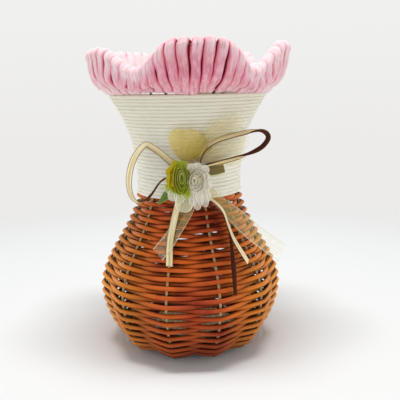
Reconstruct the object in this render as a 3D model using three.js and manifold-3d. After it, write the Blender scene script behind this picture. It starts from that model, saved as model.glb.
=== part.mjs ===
import * as THREE from 'three';
import { mergeVertices } from 'three/addons/utils/BufferGeometryUtils.js';
import Module from 'manifold-3d';

// A rattan vase: a randed belly on stakes, a cord-wound neck, a rim of paper-wrapped petals
// and a ribbon bow with an organza flower. Millimetres, +Z up, the bow faces -Y.
// The origin is the middle of the foot, on the surface that the vase stands on.

// Fits
const SEAT = 0.3; // air between pieces that touch
const ROW_GAP = 0.51; // air between one row of weave and the next
const CORD_GAP = 0.6; // air between one turn of the neck cord and the next
const WRAP_GAP = 0.6; // air between one paper wrap and the next
const WRAP_EASE = 0.6; // the paper's slack round a bend of the hoops

// Foot board
const BOARD_RADIUS = 40;
const BOARD_COVER = 1.6; // wood over the stake sockets
const BOARD_CHAMFER = 0.8;
const SOCKET_DEPTH = 10;

// Wall line of the stakes, from the foot to the collar
const FOOT_FLAT = 9; // woven ring round the board before the wall turns up
const FOOT_FULLNESS = 10;
const BELLY_RADIUS = 72.5;
const BELLY_HEIGHT = 51;
const BELLY_UNDER_FULLNESS = 20;
const BELLY_OVER_FULLNESS = 28;
const WAIST_RADIUS = 38.9;
const WAIST_HEIGHT = 138;
const WAIST_UNDER_FULLNESS = 34;
const WAIST_OVER_FULLNESS = 36;
const COLLAR_RADIUS = 64;
const COLLAR_HEIGHT = 216.5;
const COLLAR_FULLNESS = 28;
const COLLAR_FLARE = THREE.MathUtils.degToRad(33);

// Stakes and belly weave
const STAKE_COUNT = 11; // odd, so that one weaver passes in front and behind by turns
const STAKE_DIAMETER = 2.4;
const FIRST_STAKE_AZIMUTH = THREE.MathUtils.degToRad(-15);
const WEAVER_DIAMETER = 3.1;
const WEAVER_COUNT = 8; // strands, spliced end to end behind a stake
const FOOT_LIFT = 0.5; // the weave clears the surface that the board stands on
const WEAVE_TOP_HEIGHT = 129.6;

// Neck winding
const NECK_CORD_DIAMETER = 3.2;
const NECK_SLIT = 0.6; // light shows between the top turn and the petals

// Petal rim
const PETAL_COUNT = 5;
const FIRST_PETAL_AZIMUTH = THREE.MathUtils.degToRad(6);
const HOOP_WIRE_DIAMETER = 1.6;
const PETAL_PEAK_RADIUS = 76.4;
const PETAL_PEAK_HEIGHT = 242;
const PETAL_DIP_RADIUS = 69;
const PETAL_DIP_HEIGHT = 221;
const PETAL_BREADTH = 2.1; // over 1 makes the peaks broad and the dips narrow
const RIM_LEAN = 0.1; // how much taller the petals are on the right, as a share
const WRAP_WIDTH = 5.8; // about, at the collar on the inside, where whole wraps fill the room
const WRAP_THICKNESS = 2.8;
const WRAP_PUFF = 4; // the paper stands off between the hoops
const WRAP_PUFF_HEIGHT = 0.4; // share of the way up at which it stands off most

// Bow and flower
const BOW_HEIGHT = 153;
const KNOT_WIDTH = 16;
const KNOT_HEIGHT = 16;
const KNOT_DEPTH = 11;
const KNOT_ROUNDING = 0.2; // of its size, off the front and back edges
const BOW_SPREAD = 100; // the ribbons' points are hundredths of this length
const GOLD_RIBBON_WIDTH = 6;
const OLIVE_RIBBON_WIDTH = 10;
const ORGANZA_TAIL_WIDTH = 12;
const ORGANZA_LOOP_WIDTH = 26;
const RIBBON_THICKNESS = 0.8;
const ORGANZA_LOOP_THICKNESS = 2.2;
const ORGANZA_FOLD = 0.5;
const ORGANZA_LIFT = 1.1; // organza lies nearest to the vase
const TAIL_LIFT = 3.6; // gold tails lie over the organza
const LOOP_LIFT = 7.6; // gold loops stand clear of both
const WHITE_ROSETTE_RADIUS = 9.5;
const WHITE_ROSETTE_HALF_HEIGHT = 18;
const WHITE_ROSETTE_DROP = 11;
const GREEN_ROSETTE_RADIUS = 8.5;
const GREEN_ROSETTE_HALF_HEIGHT = 15.5;
const GREEN_ROSETTE_DROP = 7;
const ROSETTE_DEPTH = 13;
const ROSETTE_SPLIT = -1.7; // where the two rosettes meet, left of the knot's middle
const ROSETTE_RUFFLE = 0.07; // of its radius, in and out
const LEAF_WIDTH = 7;
const STIFF_DRAPE = 0.3; // loops and rosettes stand off at the sides
const EDGE_ON = Math.PI / 2;
const GOLD_GATHER = 0.7; // widths at the knot, as shares of the full width
const OLIVE_GATHER = 0.4;
const TAIL_GATHER = 0.33;
const FAN_GATHER = 0.2;
const FAN_MIDDLE = 0.6;

// Facets
const CORD_SIDES = 4;
const STAKE_SIDES = 4;
const HOOP_SIDES = 4;
const WRAP_SIDES = 4;
const SOCKET_SIDES = 6;
const BOARD_SIDES = STAKE_COUNT * 4;
const STEPS_PER_BAY = 2; // a ring of points at each stake and half way to the next
const COLLAR_STEPS = STAKE_COUNT * 4;
const RIM_STEPS = STAKE_COUNT * 6;
const RIBBON_STEPS = 12;
const LOOP_STEPS = 20;
const FOOT_STEPS = 6;
const BELLY_STEPS = 6;
const NECK_STEPS = 5;
const KNOT_SIDES = 12;
const ROSETTE_LOBES = 7;
const ROSETTE_POINTS = 3 * ROSETTE_LOBES;
const ROSETTE_DOME = [[0, 0.6], [0.25, 1], [0.6, 0.95], [0.85, 0.62], [1, 0.2]]; // shares of depth and radius

// Worked out from the sizes above
const BAY = (2 * Math.PI) / STAKE_COUNT;
const STAKE_RADIUS = STAKE_DIAMETER / 2;
const WEAVER_RADIUS = WEAVER_DIAMETER / 2;
const NECK_CORD_RADIUS = NECK_CORD_DIAMETER / 2;
const HOOP_WIRE_RADIUS = HOOP_WIRE_DIAMETER / 2;
const WEAVE_THROW = STAKE_RADIUS + SEAT + WEAVER_RADIUS; // middle of a strand from the stakes' line
const WEAVE_REACH = WEAVE_THROW + WEAVER_RADIUS;
const ROW_PITCH = WEAVER_DIAMETER + ROW_GAP;
const CORD_PITCH = NECK_CORD_DIAMETER + CORD_GAP;
const CORD_OFFSET = STAKE_RADIUS + SEAT + NECK_CORD_RADIUS;
const FOOT_LEVEL = FOOT_LIFT + WEAVE_REACH;
const SOCKET_RADIUS = STAKE_RADIUS + SEAT;
const BOARD_THICKNESS = FOOT_LEVEL + SOCKET_RADIUS + BOARD_COVER;
const WRAP_REACH = Math.SQRT2 * (HOOP_WIRE_RADIUS + SEAT) + WRAP_THICKNESS / 2 + WRAP_EASE;
const WRAP_OUTSIDE = WRAP_REACH + WRAP_THICKNESS / 2;

const wasm = await Module();
wasm.setup();

// Materials
const finish = (color, roughness, metalness = 0) =>
  new THREE.MeshStandardMaterial({ color, roughness, metalness });
const PALE_WOOD = finish('#d9c29a', 0.7);
const PALE_CANE = finish('#e6d3ad', 0.6);
const BROWN_RATTAN = finish('#b0602c', 0.5);
const WHITE_CORD = finish('#f0ece0', 0.75);
const HOOP_WIRE = finish('#4c3a30', 0.5, 0.6);
const PINK_PAPER = finish('#eeb0c6', 0.85);
const GOLD_RIBBON = finish('#d8c07a', 0.35, 0.3);
const BROWN_RIBBON = finish('#5a2410', 0.5);
const OLIVE_RIBBON = finish('#6e6732', 0.5);
const CREAM_ORGANZA = finish('#ded3a0', 0.5);
const WHITE_ORGANZA = finish('#f2f1e6', 0.55);
const GREEN_ORGANZA = finish('#a9b83c', 0.55);
const GREEN_LEAF = finish('#4c7a3a', 0.6);

// Solids

/** Turns a closed skin the right way out. */
function faceOutwards(geometry) {
  const at = geometry.getAttribute('position');
  const index = geometry.getIndex().array;
  const corner = (k) => new THREE.Vector3().fromBufferAttribute(at, index[k]);
  let volume = 0;
  for (let k = 0; k < index.length; k += 3) {
    volume += corner(k).dot(corner(k + 1).cross(corner(k + 2)));
  }
  if (volume < 0) index.reverse();
  return geometry;
}

/** Joins rings of points into one closed skin, capped at both ends or closed into a hoop. */
function loft(rings, hoop = false) {
  const sides = rings[0].length;
  const index = [];
  const spans = hoop ? rings.length : rings.length - 1;
  for (let i = 0; i < spans; i += 1) {
    const low = i * sides;
    const high = ((i + 1) % rings.length) * sides;
    for (let j = 0; j < sides; j += 1) {
      const k = (j + 1) % sides;
      index.push(low + j, low + k, high + k, low + j, high + k, high + j);
    }
  }
  const last = (rings.length - 1) * sides;
  for (let j = 1; !hoop && j + 1 < sides; j += 1) {
    index.push(0, j + 1, j, last, last + j, last + j + 1);
  }
  const geometry = new THREE.BufferGeometry().setFromPoints(rings.flat());
  geometry.setIndex(index);
  return faceOutwards(geometry);
}

/** A ring of points round a centre, in the plane of two axes. */
function section(centre, axisA, axisB, halfA, halfB, sides) {
  return Array.from({ length: sides }, (_, j) => {
    const turn = (2 * Math.PI * j) / sides;
    return centre
      .clone()
      .addScaledVector(axisA, halfA * Math.cos(turn))
      .addScaledVector(axisB, halfB * Math.sin(turn));
  });
}

function toSolid(geometry) {
  const bare = geometry.clone();
  bare.deleteAttribute('normal');
  bare.deleteAttribute('uv');
  const merged = mergeVertices(bare, 1e-4);
  const index = merged.getIndex().array;
  const faces = [];
  for (let k = 0; k < index.length; k += 3) {
    const [a, b, c] = index.slice(k, k + 3);
    if (a !== b && b !== c && c !== a) faces.push(a, b, c);
  }
  const vertProperties = new Float32Array(merged.getAttribute('position').array);
  return new wasm.Manifold(new wasm.Mesh({ numProp: 3, vertProperties, triVerts: new Uint32Array(faces) }));
}

function fromSolid(solid) {
  const { vertProperties, triVerts } = solid.getMesh();
  const geometry = new THREE.BufferGeometry();
  geometry.setAttribute('position', new THREE.BufferAttribute(vertProperties, 3));
  geometry.setIndex(new THREE.BufferAttribute(triVerts, 1));
  return geometry;
}

const vase = new THREE.Group();
function add(name, geometry, material) {
  const mesh = new THREE.Mesh(geometry, material);
  mesh.name = name;
  vase.add(mesh);
  return mesh;
}

/** The least distance between points of a winding that are at least half a turn apart. */
function leastGap(rings, ringsPerTurn) {
  let least = Infinity;
  for (let i = 0; i < rings.length; i += 1) {
    const to = Math.min(rings.length, i + Math.ceil(1.5 * ringsPerTurn));
    for (let j = i + Math.floor(ringsPerTurn / 2) + 1; j < to; j += 1) {
      for (const p of rings[i]) {
        for (const q of rings[j]) least = Math.min(least, p.distanceTo(q));
      }
    }
  }
  return least;
}

// Wall: azimuth 0 is the front, on -Y, and grows towards +X
const around = (azimuth, radius, height) =>
  new THREE.Vector3(radius * Math.sin(azimuth), -radius * Math.cos(azimuth), height);
const sideways = (azimuth) => new THREE.Vector3(Math.cos(azimuth), Math.sin(azimuth), 0);
const stakeAzimuth = (k) => FIRST_STAKE_AZIMUTH + k * BAY;

const footRadius = BOARD_RADIUS + FOOT_FLAT;
const socketRadius = BOARD_RADIUS - SOCKET_DEPTH + SEAT;
const spot = (radius, height) => new THREE.Vector2(radius, height);
const belly = spot(BELLY_RADIUS, BELLY_HEIGHT);
const waist = spot(WAIST_RADIUS, WAIST_HEIGHT);
const collar = spot(COLLAR_RADIUS, COLLAR_HEIGHT);
const flareDirection = spot(Math.sin(COLLAR_FLARE), Math.cos(COLLAR_FLARE));
const underBelly = new THREE.CubicBezierCurve(
  spot(footRadius, FOOT_LEVEL),
  spot(footRadius + FOOT_FULLNESS, FOOT_LEVEL),
  spot(BELLY_RADIUS, BELLY_HEIGHT - BELLY_UNDER_FULLNESS),
  belly,
);
const overBelly = new THREE.CubicBezierCurve(
  belly,
  spot(BELLY_RADIUS, BELLY_HEIGHT + BELLY_OVER_FULLNESS),
  spot(WAIST_RADIUS, WAIST_HEIGHT - WAIST_UNDER_FULLNESS),
  waist,
);
const neck = new THREE.CubicBezierCurve(
  waist,
  spot(WAIST_RADIUS, WAIST_HEIGHT + WAIST_OVER_FULLNESS),
  collar.clone().addScaledVector(flareDirection, -COLLAR_FULLNESS),
  collar,
);

/** Stations along the wall line: where it is, its outward normal, and the length so far. */
const stations = [{ at: spot(socketRadius, FOOT_LEVEL), out: spot(0, -1) }];
for (const [curve, steps] of [[underBelly, FOOT_STEPS], [overBelly, BELLY_STEPS], [neck, NECK_STEPS]]) {
  for (let k = curve === underBelly ? 0 : 1; k <= steps; k += 1) {
    const along = curve.getTangentAt(k / steps);
    stations.push({ at: curve.getPointAt(k / steps), out: spot(along.y, -along.x) });
  }
}
stations[0].length = 0;
for (let i = 1; i < stations.length; i += 1) {
  stations[i].length = stations[i - 1].length + stations[i].at.distanceTo(stations[i - 1].at);
}
const wallLength = stations.at(-1).length;

/** The wall line's point and normal at a length along it, straight from station to station. */
function wallAt(length) {
  let i = 1;
  while (i < stations.length - 1 && stations[i].length < length) i += 1;
  const [a, b] = [stations[i - 1], stations[i]];
  const share = (length - a.length) / (b.length - a.length);
  return { at: a.at.clone().lerp(b.at, share), out: a.out.clone().lerp(b.out, share) };
}

/** The length along the wall line at which it first reaches a height above the foot. */
function lengthAtHeight(height) {
  const i = Math.max(2, stations.findIndex((s) => s.at.y >= height));
  const [a, b] = [stations[i - 1], stations[i]];
  return a.length + ((b.length - a.length) * (height - a.at.y)) / (b.at.y - a.at.y);
}

/** A ring of a strand that lies off the wall line, square to the way round the vase. */
function strandRing(length, azimuth, offset, radius, sides) {
  const { at, out } = wallAt(length);
  const centre = around(azimuth, at.x + out.x * offset, at.y + out.y * offset);
  const outward = around(azimuth, out.x, out.y);
  const upward = around(azimuth, -out.y, out.x);
  return section(centre, outward, upward, radius, radius, sides);
}

/** A ring of a stake, square to the wall line. */
function stakeRing(length, azimuth) {
  const { at, out } = wallAt(length);
  const centre = around(azimuth, at.x, at.y);
  const outward = around(azimuth, out.x, out.y);
  return section(centre, outward, sideways(azimuth), STAKE_RADIUS, STAKE_RADIUS, STAKE_SIDES);
}

// Foot board with a socket for each stake
const boardProfile = [
  [0, 0],
  [BOARD_RADIUS - BOARD_CHAMFER, 0],
  [BOARD_RADIUS, BOARD_CHAMFER],
  [BOARD_RADIUS, BOARD_THICKNESS - BOARD_CHAMFER],
  [BOARD_RADIUS - BOARD_CHAMFER, BOARD_THICKNESS],
  [0, BOARD_THICKNESS],
].map(([r, z]) => spot(r, z));
const boardBlank = new THREE.LatheGeometry(boardProfile, BOARD_SIDES).rotateX(Math.PI / 2);
let board = toSolid(boardBlank);
for (let k = 0; k < STAKE_COUNT; k += 1) {
  const drill = new THREE.CylinderGeometry(SOCKET_RADIUS, SOCKET_RADIUS, 2 * SOCKET_DEPTH, SOCKET_SIDES)
    .translate(0, -BOARD_RADIUS, 0)
    .rotateZ(stakeAzimuth(k))
    .translate(0, 0, FOOT_LEVEL);
  board = board.subtract(toSolid(drill));
}
add('base_board', fromSolid(board), PALE_WOOD);

// Stakes, from the board's sockets up to the collar hoop
const stakeEnd = wallLength - HOOP_WIRE_RADIUS - SEAT;
const stakeLengths = [...stations.slice(0, -1).map((s) => s.length), stakeEnd];
for (let k = 0; k < STAKE_COUNT; k += 1) {
  const azimuth = stakeAzimuth(k);
  const rings = stakeLengths.map((length) => stakeRing(length, azimuth));
  add(`stake_${String(k + 1).padStart(2, '0')}`, loft(rings), PALE_CANE);
}

// Belly weave: one weaver climbs round the stakes, in front of one and behind the next
const halfStep = BAY / STEPS_PER_BAY;
const weaveStartRadius = (BOARD_RADIUS + SEAT + WEAVER_RADIUS) / Math.cos(halfStep / 2);
const weaveStart = weaveStartRadius - socketRadius;
const weaveEnd = lengthAtHeight(WEAVE_TOP_HEIGHT);
const weaveBays = ((weaveEnd - weaveStart) / ROW_PITCH) * STAKE_COUNT;
const baysPerWeaver = 2 * Math.round(weaveBays / (2 * WEAVER_COUNT));
let weaveGap = Infinity;
for (let w = 0; w < WEAVER_COUNT; w += 1) {
  const rings = [];
  const steps = baysPerWeaver * STEPS_PER_BAY;
  for (let i = 0; i <= steps; i += 1) {
    // The cut ends of two strands meet behind the same stake.
    const trim = (i === 0) - (i === steps);
    const bays = w * baysPerWeaver + i / STEPS_PER_BAY;
    const length = weaveStart + (ROW_PITCH * bays) / STAKE_COUNT;
    const azimuth = stakeAzimuth(bays) + (trim * SEAT) / wallAt(length).at.x;
    const offset = -WEAVE_THROW * Math.cos(Math.PI * bays);
    rings.push(strandRing(length, azimuth, offset, WEAVER_RADIUS, CORD_SIDES));
  }
  weaveGap = Math.min(weaveGap, leastGap(rings, STAKE_COUNT * STEPS_PER_BAY));
  add(`belly_weaver_${w + 1}`, loft(rings), BROWN_RATTAN);
}
console.log(`belly weavers: ${WEAVER_COUNT} of ${baysPerWeaver} bays, least gap ${weaveGap.toFixed(2)} mm`);

// Neck winding: one cord round the stakes
const wovenBays = baysPerWeaver * WEAVER_COUNT;
const weaveTop = weaveStart + (ROW_PITCH * wovenBays) / STAKE_COUNT;
const turnOnRow = WEAVER_RADIUS + SEAT + NECK_CORD_RADIUS;
const neckStart = weaveTop - Math.min(ROW_PITCH, CORD_PITCH) + turnOnRow;
const neckEnd = wallLength - WRAP_OUTSIDE - NECK_SLIT - NECK_CORD_RADIUS;
const neckSteps = Math.floor(((neckEnd - neckStart) / CORD_PITCH) * STAKE_COUNT * STEPS_PER_BAY);
const neckRings = Array.from({ length: neckSteps + 1 }, (_, i) => {
  const bays = i / STEPS_PER_BAY;
  const length = neckStart + (CORD_PITCH * bays) / STAKE_COUNT;
  const azimuth = stakeAzimuth(wovenBays + bays);
  return strandRing(length, azimuth, CORD_OFFSET, NECK_CORD_RADIUS, CORD_SIDES);
});
const neckTurns = neckSteps / (STAKE_COUNT * STEPS_PER_BAY);
const neckGap = leastGap(neckRings, STAKE_COUNT * STEPS_PER_BAY);
console.log(`neck winding: ${neckTurns.toFixed(1)} turns, least gap ${neckGap.toFixed(2)} mm`);
add('neck_winding', loft(neckRings), WHITE_CORD);

// Petal rim: a round hoop on the stakes, a waved hoop above it, and paper wound round both
function rimSpot(azimuth) {
  const wave = (1 + Math.cos(PETAL_COUNT * (azimuth - FIRST_PETAL_AZIMUTH))) / 2;
  const rise = (1 - (1 - wave) ** PETAL_BREADTH) * (1 + RIM_LEAN * Math.sin(azimuth));
  return spot(
    THREE.MathUtils.lerp(PETAL_DIP_RADIUS, PETAL_PEAK_RADIUS, rise),
    THREE.MathUtils.lerp(PETAL_DIP_HEIGHT, PETAL_PEAK_HEIGHT, rise),
  );
}
const UP = new THREE.Vector3(0, 0, 1);
function hoopRings(spotAt, steps) {
  return Array.from({ length: steps }, (_, i) => {
    const azimuth = (2 * Math.PI * i) / steps;
    const { x, y } = spotAt(azimuth);
    const outward = around(azimuth, 1, 0);
    return section(around(azimuth, x, y), outward, UP, HOOP_WIRE_RADIUS, HOOP_WIRE_RADIUS, HOOP_SIDES);
  });
}
add('collar_hoop', loft(hoopRings(() => collar, COLLAR_STEPS), true), HOOP_WIRE);
add('rim_hoop', loft(hoopRings(rimSpot, RIM_STEPS), true), HOOP_WIRE);

const wrapInnerRadius = COLLAR_RADIUS - WRAP_REACH;
const stakeRoom = (STAKE_DIAMETER + 2 * SEAT) / wrapInnerRadius; // wraps part round each stake
const wrapsPerBay = Math.round(((BAY - stakeRoom) * wrapInnerRadius) / (WRAP_WIDTH + WRAP_GAP));
const wrapStep = (BAY - stakeRoom) / wrapsPerBay;
const wrapTotal = wrapsPerBay * STAKE_COUNT;
const wrapAzimuth = (j) =>
  stakeAzimuth(Math.floor(j / wrapsPerBay)) + stakeRoom / 2 + ((j % wrapsPerBay) + 0.5) * wrapStep;

/** One turn of paper: up the outside from this wrap's place and down the inside to the next. */
function wrapTurn(j) {
  const from = wrapAzimuth(j);
  const to = wrapAzimuth(j + 1);

  // A lens-shaped ring, as wide as its share of the way round, that leans with the hoop it is on.
  const lay = (share, upShare, outward, upward, reach) => {
    const azimuth = from + (to - from) * share;
    const hoopSpot = (a) => collar.clone().lerp(rimSpot(a), upShare);
    const hoopPoint = (a) => around(a, hoopSpot(a).x, hoopSpot(a).y);
    const lean = hoopPoint(azimuth + wrapStep / 2).sub(hoopPoint(azimuth - wrapStep / 2));
    const level = Math.hypot(lean.x, lean.y) / lean.length();
    const up = rimSpot(azimuth).sub(collar).normalize();
    const facing = spot(up.y, -up.x).multiplyScalar(outward).addScaledVector(up, upward);
    const point = hoopSpot(azimuth).addScaledVector(facing, upward === 0 ? reach : reach / level);
    const half = (lean.length() * point.x) / hoopSpot(azimuth).x / 2 - WRAP_GAP / level / 2;
    const centre = around(azimuth, point.x, point.y);
    const thick = around(azimuth, facing.x, facing.y);
    return section(centre, lean.normalize(), thick, half, WRAP_THICKNESS / 2, WRAP_SIDES);
  };
  return [
    lay(0, 0, 0, -1, WRAP_REACH),
    lay(0, 0, 1, 0, WRAP_REACH),
    lay(0.5 * WRAP_PUFF_HEIGHT, WRAP_PUFF_HEIGHT, 1, 0, WRAP_REACH + WRAP_PUFF),
    lay(0.5, 1, 1, 0, WRAP_REACH),
    lay(0.5, 1, 0, 1, WRAP_REACH),
    lay(0.5, 1, -1, 0, WRAP_REACH),
    lay(0.75, 0.5, -1, 0, WRAP_REACH),
    lay(1, 0, -1, 0, WRAP_REACH),
  ];
}
const wrapRounds = Array.from({ length: wrapTotal }, (_, j) => wrapTurn(j));
const firstDip = FIRST_PETAL_AZIMUTH - Math.PI / PETAL_COUNT;
const firstWrap = Math.round(((firstDip - FIRST_STAKE_AZIMUTH) / (2 * Math.PI)) * wrapTotal);
for (let p = 0; p < PETAL_COUNT; p += 1) {
  const from = firstWrap + Math.round((p * wrapTotal) / PETAL_COUNT);
  const to = firstWrap + Math.round(((p + 1) * wrapTotal) / PETAL_COUNT);
  const rounds = [];
  for (let j = from; j < to; j += 1) rounds.push(wrapRounds[(j + wrapTotal) % wrapTotal]);
  const gap = leastGap(rounds.flat(), rounds[0].length);
  console.log(`petal wrap ${p + 1}: ${rounds.length} turns, least gap ${gap.toFixed(2)} mm`);
  add(`petal_wrap_${p + 1}`, loft(rounds.flat()), PINK_PAPER);
}

// Bow and flower, placed by (sideways, up from the knot's middle, lift off the vase)
const outside = stations.slice(1).map((s) => s.at.clone().addScaledVector(s.out, WEAVE_REACH));

/** The radius of the vase's outside at a height; above the collar, its flare goes straight on. */
function outsideRadius(height) {
  const above = outside.findIndex((s, k) => k > 0 && s.y >= height);
  const i = above < 0 ? outside.length - 1 : above;
  const [a, b] = [outside[i - 1], outside[i]];
  return a.x + ((b.x - a.x) * (height - a.y)) / (b.y - a.y);
}

/** A point in front of the vase: drape 1 follows its round, drape 0 stays flat. */
function inFront(x, up, lift, drape) {
  const radius = outsideRadius(BOW_HEIGHT + up) + lift;
  return new THREE.Vector3(x, -radius + (drape * x * x) / (2 * radius), BOW_HEIGHT + up);
}

/**
 * A ribbon along points [x, up, lift] that are steps from its start, in hundredths of the bow's spread.
 * widths and turns run from the start to the end; a turn of 0 shows the ribbon's face and
 * a quarter turn its edge. columns and fold give it pleats.
 */
function ribbon({ start, points, widths, turns = [0], thickness = RIBBON_THICKNESS, drape = 1,
  steps = RIBBON_STEPS, columns = 2, fold = 0 }) {
  const path = [[0, 0, 0], ...points].map((point) =>
    new THREE.Vector3(...point).multiplyScalar(BOW_SPREAD / 100).add(new THREE.Vector3(...start)));
  const curve = new THREE.CatmullRomCurve3(path);
  const mix = (values, share) => {
    const k = Math.min(Math.floor(share * (values.length - 1)), Math.max(0, values.length - 2));
    const next = values[Math.min(k + 1, values.length - 1)];
    return THREE.MathUtils.lerp(values[k], next, share * (values.length - 1) - k);
  };
  const rings = Array.from({ length: steps + 1 }, (_, i) => {
    const share = i / steps;
    const middle = curve.getPointAt(share);
    const along = curve.getTangentAt(share);
    const across = spot(-along.y, along.x).normalize();
    const turn = mix(turns, share);
    const corner = (a, b) => {
      const side = a * Math.cos(turn) - b * Math.sin(turn);
      const lift = a * Math.sin(turn) + b * Math.cos(turn);
      return inFront(middle.x + across.x * side, middle.y + across.y * side, middle.z + lift, drape);
    };
    const row = Array.from({ length: columns }, (_c, c) =>
      [(c / (columns - 1) - 0.5) * mix(widths, share), fold * share * (c % 2 ? 1 : -1)]);
    const under = row.map(([a, b]) => corner(a, b - thickness / 2));
    const over = row.map(([a, b]) => corner(a, b + thickness / 2)).reverse();
    return [...under, ...over];
  });
  return loft(rings);
}

const knotSide = KNOT_WIDTH / 2 + SEAT;
const knotEnd = KNOT_HEIGHT / 2 + SEAT;

const knotSides = [
  [SEAT, 1 - KNOT_ROUNDING],
  [KNOT_ROUNDING * KNOT_DEPTH, 1],
  [(1 - KNOT_ROUNDING) * KNOT_DEPTH, 1],
  [KNOT_DEPTH, 1 - KNOT_ROUNDING],
];
const knotRings = knotSides.map(([lift, scale]) => {
  const [halfWidth, halfHeight] = [(scale * KNOT_WIDTH) / 2, (scale * KNOT_HEIGHT) / 2];
  const outline = section(new THREE.Vector3(), sideways(0), UP, halfWidth, halfHeight, KNOT_SIDES);
  return outline.map((p) => inFront(p.x, p.z, lift, STIFF_DRAPE));
});
add('bow_knot', loft(knotRings), GOLD_RIBBON);

const goldLoop = { widths: [GOLD_RIBBON_WIDTH], turns: [EDGE_ON], drape: STIFF_DRAPE, steps: LOOP_STEPS };
add('gold_loop_left', ribbon({
  ...goldLoop,
  start: [-knotSide, 4.5, LOOP_LIFT],
  points: [[-5, 3, 0], [-13, 10, 0], [-22, 16, 0], [-27, 13, 0], [-32, 6, 0], [-36, -5, 0], [-37, -16, 0],
    [-34.5, -24.5, 0], [-29, -27.5, 0], [-21.5, -22, 0], [-13, -11, 0], [-5, -7, 0], [0, -7, 0]],
}), GOLD_RIBBON);
add('gold_loop_right', ribbon({
  ...goldLoop,
  start: [knotSide, 6, LOOP_LIFT],
  points: [[1.5, 5, 0], [5, 11, 0], [12, 16, 0], [30, 21, 0], [45, 23, 0], [50, 19, 0], [46.5, 11.5, 0],
    [38, 6, 0], [28, 3, 0], [17, -0.5, 0], [6, -3.2, 0], [0, -3.6, 0]],
}), GOLD_RIBBON);
const goldTailWidths = [GOLD_GATHER, 1, 1].map((share) => share * GOLD_RIBBON_WIDTH);
add('gold_tail_front', ribbon({
  start: [-0.3 * KNOT_WIDTH, -knotEnd, TAIL_LIFT],
  points: [[0, -4, 0], [-3, -13, 0], [-5, -21, 0], [-8, -33, -0.4], [-10.5, -44, -0.6], [-11.5, -58, -0.6]],
  widths: goldTailWidths,
}), GOLD_RIBBON);
add('gold_tail_right', ribbon({
  start: [4.2, -knotEnd, LOOP_LIFT - 1.4],
  points: [[0.5, -3, 0], [5, -9, 0], [15, -17, 0], [20, -23, 0], [24, -34, 0], [27.5, -43, 0], [39, -59, -1]],
  widths: goldTailWidths,
  turns: [EDGE_ON],
}), GOLD_RIBBON);
add('brown_tail_right', ribbon({
  start: [1.2, -knotEnd, TAIL_LIFT - 1.2],
  points: [[0.3, -4, 0], [5, -12, 0], [16, -20, 0], [25, -28, 0], [28.5, -38, 0], [29.7, -50, 0],
    [30.2, -64, -0.4], [30.5, -82, -0.8]],
  widths: goldTailWidths,
  steps: 1.5 * RIBBON_STEPS,
}), BROWN_RIBBON);
add('olive_ribbon_end', ribbon({
  start: [knotSide, -1, TAIL_LIFT - 1],
  points: [[6, 0.5, 0], [12, 1.6, 0], [18.5, 3, 0]],
  widths: [OLIVE_GATHER * OLIVE_RIBBON_WIDTH, OLIVE_RIBBON_WIDTH],
  steps: RIBBON_STEPS / 2,
}), OLIVE_RIBBON);
add('organza_tail_left', ribbon({
  start: [1, -knotEnd, ORGANZA_LIFT],
  points: [[0, -6, 0], [-1.5, -19, 0], [-4, -31, 0], [-8, -41, 0], [-14, -50, 0], [-24, -57, 0]],
  widths: [TAIL_GATHER * ORGANZA_TAIL_WIDTH, ORGANZA_TAIL_WIDTH],
}), CREAM_ORGANZA);
add('organza_tail_right', ribbon({
  start: [knotSide, -5.4, ORGANZA_LIFT],
  points: [[3, -4, 0], [13, -18, 0], [26, -30.5, 0.4], [42, -45, 1], [65, -62, 3]],
  widths: [TAIL_GATHER, 1, 1].map((share) => share * ORGANZA_TAIL_WIDTH),
}), CREAM_ORGANZA);
const organzaLoop = { thickness: ORGANZA_LOOP_THICKNESS, columns: 5, fold: ORGANZA_FOLD };
const loopLift = ORGANZA_FOLD + ORGANZA_LOOP_THICKNESS / 2 + SEAT;
add('organza_loop_left', ribbon({
  ...organzaLoop,
  start: [-4, knotEnd, loopLift],
  points: [[0, 3, 0], [-0.5, 9, 0], [0, 19, 0]],
  widths: [FAN_GATHER, FAN_MIDDLE, 1].map((share) => share * ORGANZA_LOOP_WIDTH),
}), CREAM_ORGANZA);
add('organza_loop_right', ribbon({
  ...organzaLoop,
  start: [5, knotEnd, loopLift],
  points: [[3, 2.5, 0], [13, 7, 0], [28, 12.5, 0], [46, 18.5, 0]],
  widths: [FAN_GATHER, FAN_MIDDLE, 1].map((share) => share * ORGANZA_LOOP_WIDTH),
}), CREAM_ORGANZA);
add('flower_leaf', ribbon({
  start: [-knotSide, -6, TAIL_LIFT + 1.8],
  points: [[-3, -3, 0], [-8, -11, 0], [-16, -20, -1]],
  widths: [0.2, 1, 0.8, 0.15].map((share) => share * LEAF_WIDTH),
}), GREEN_LEAF);

/** A rosette of gathered organza: a dome with a ruffled edge on the knot's front. */
function rosette(x, drop, radius, halfHeight) {
  const rings = ROSETTE_DOME.map(([depth, scale]) =>
    Array.from({ length: ROSETTE_POINTS }, (_, j) => {
      const turn = (2 * Math.PI * j) / ROSETTE_POINTS;
      const ruffle = scale * (1 - ROSETTE_RUFFLE * (1 - Math.cos(ROSETTE_LOBES * turn)));
      return inFront(
        x + radius * ruffle * Math.cos(turn),
        -drop + halfHeight * ruffle * Math.sin(turn),
        KNOT_DEPTH + SEAT + depth * ROSETTE_DEPTH,
        STIFF_DRAPE,
      );
    }));
  return loft(rings);
}
add('white_rosette', rosette(ROSETTE_SPLIT + SEAT / 2 + WHITE_ROSETTE_RADIUS, WHITE_ROSETTE_DROP,
  WHITE_ROSETTE_RADIUS, WHITE_ROSETTE_HALF_HEIGHT), WHITE_ORGANZA);
add('green_rosette', rosette(ROSETTE_SPLIT - SEAT / 2 - GREEN_ROSETTE_RADIUS, GREEN_ROSETTE_DROP,
  GREEN_ROSETTE_RADIUS, GREEN_ROSETTE_HALF_HEIGHT), GREEN_ORGANZA);

export default vase;
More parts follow.
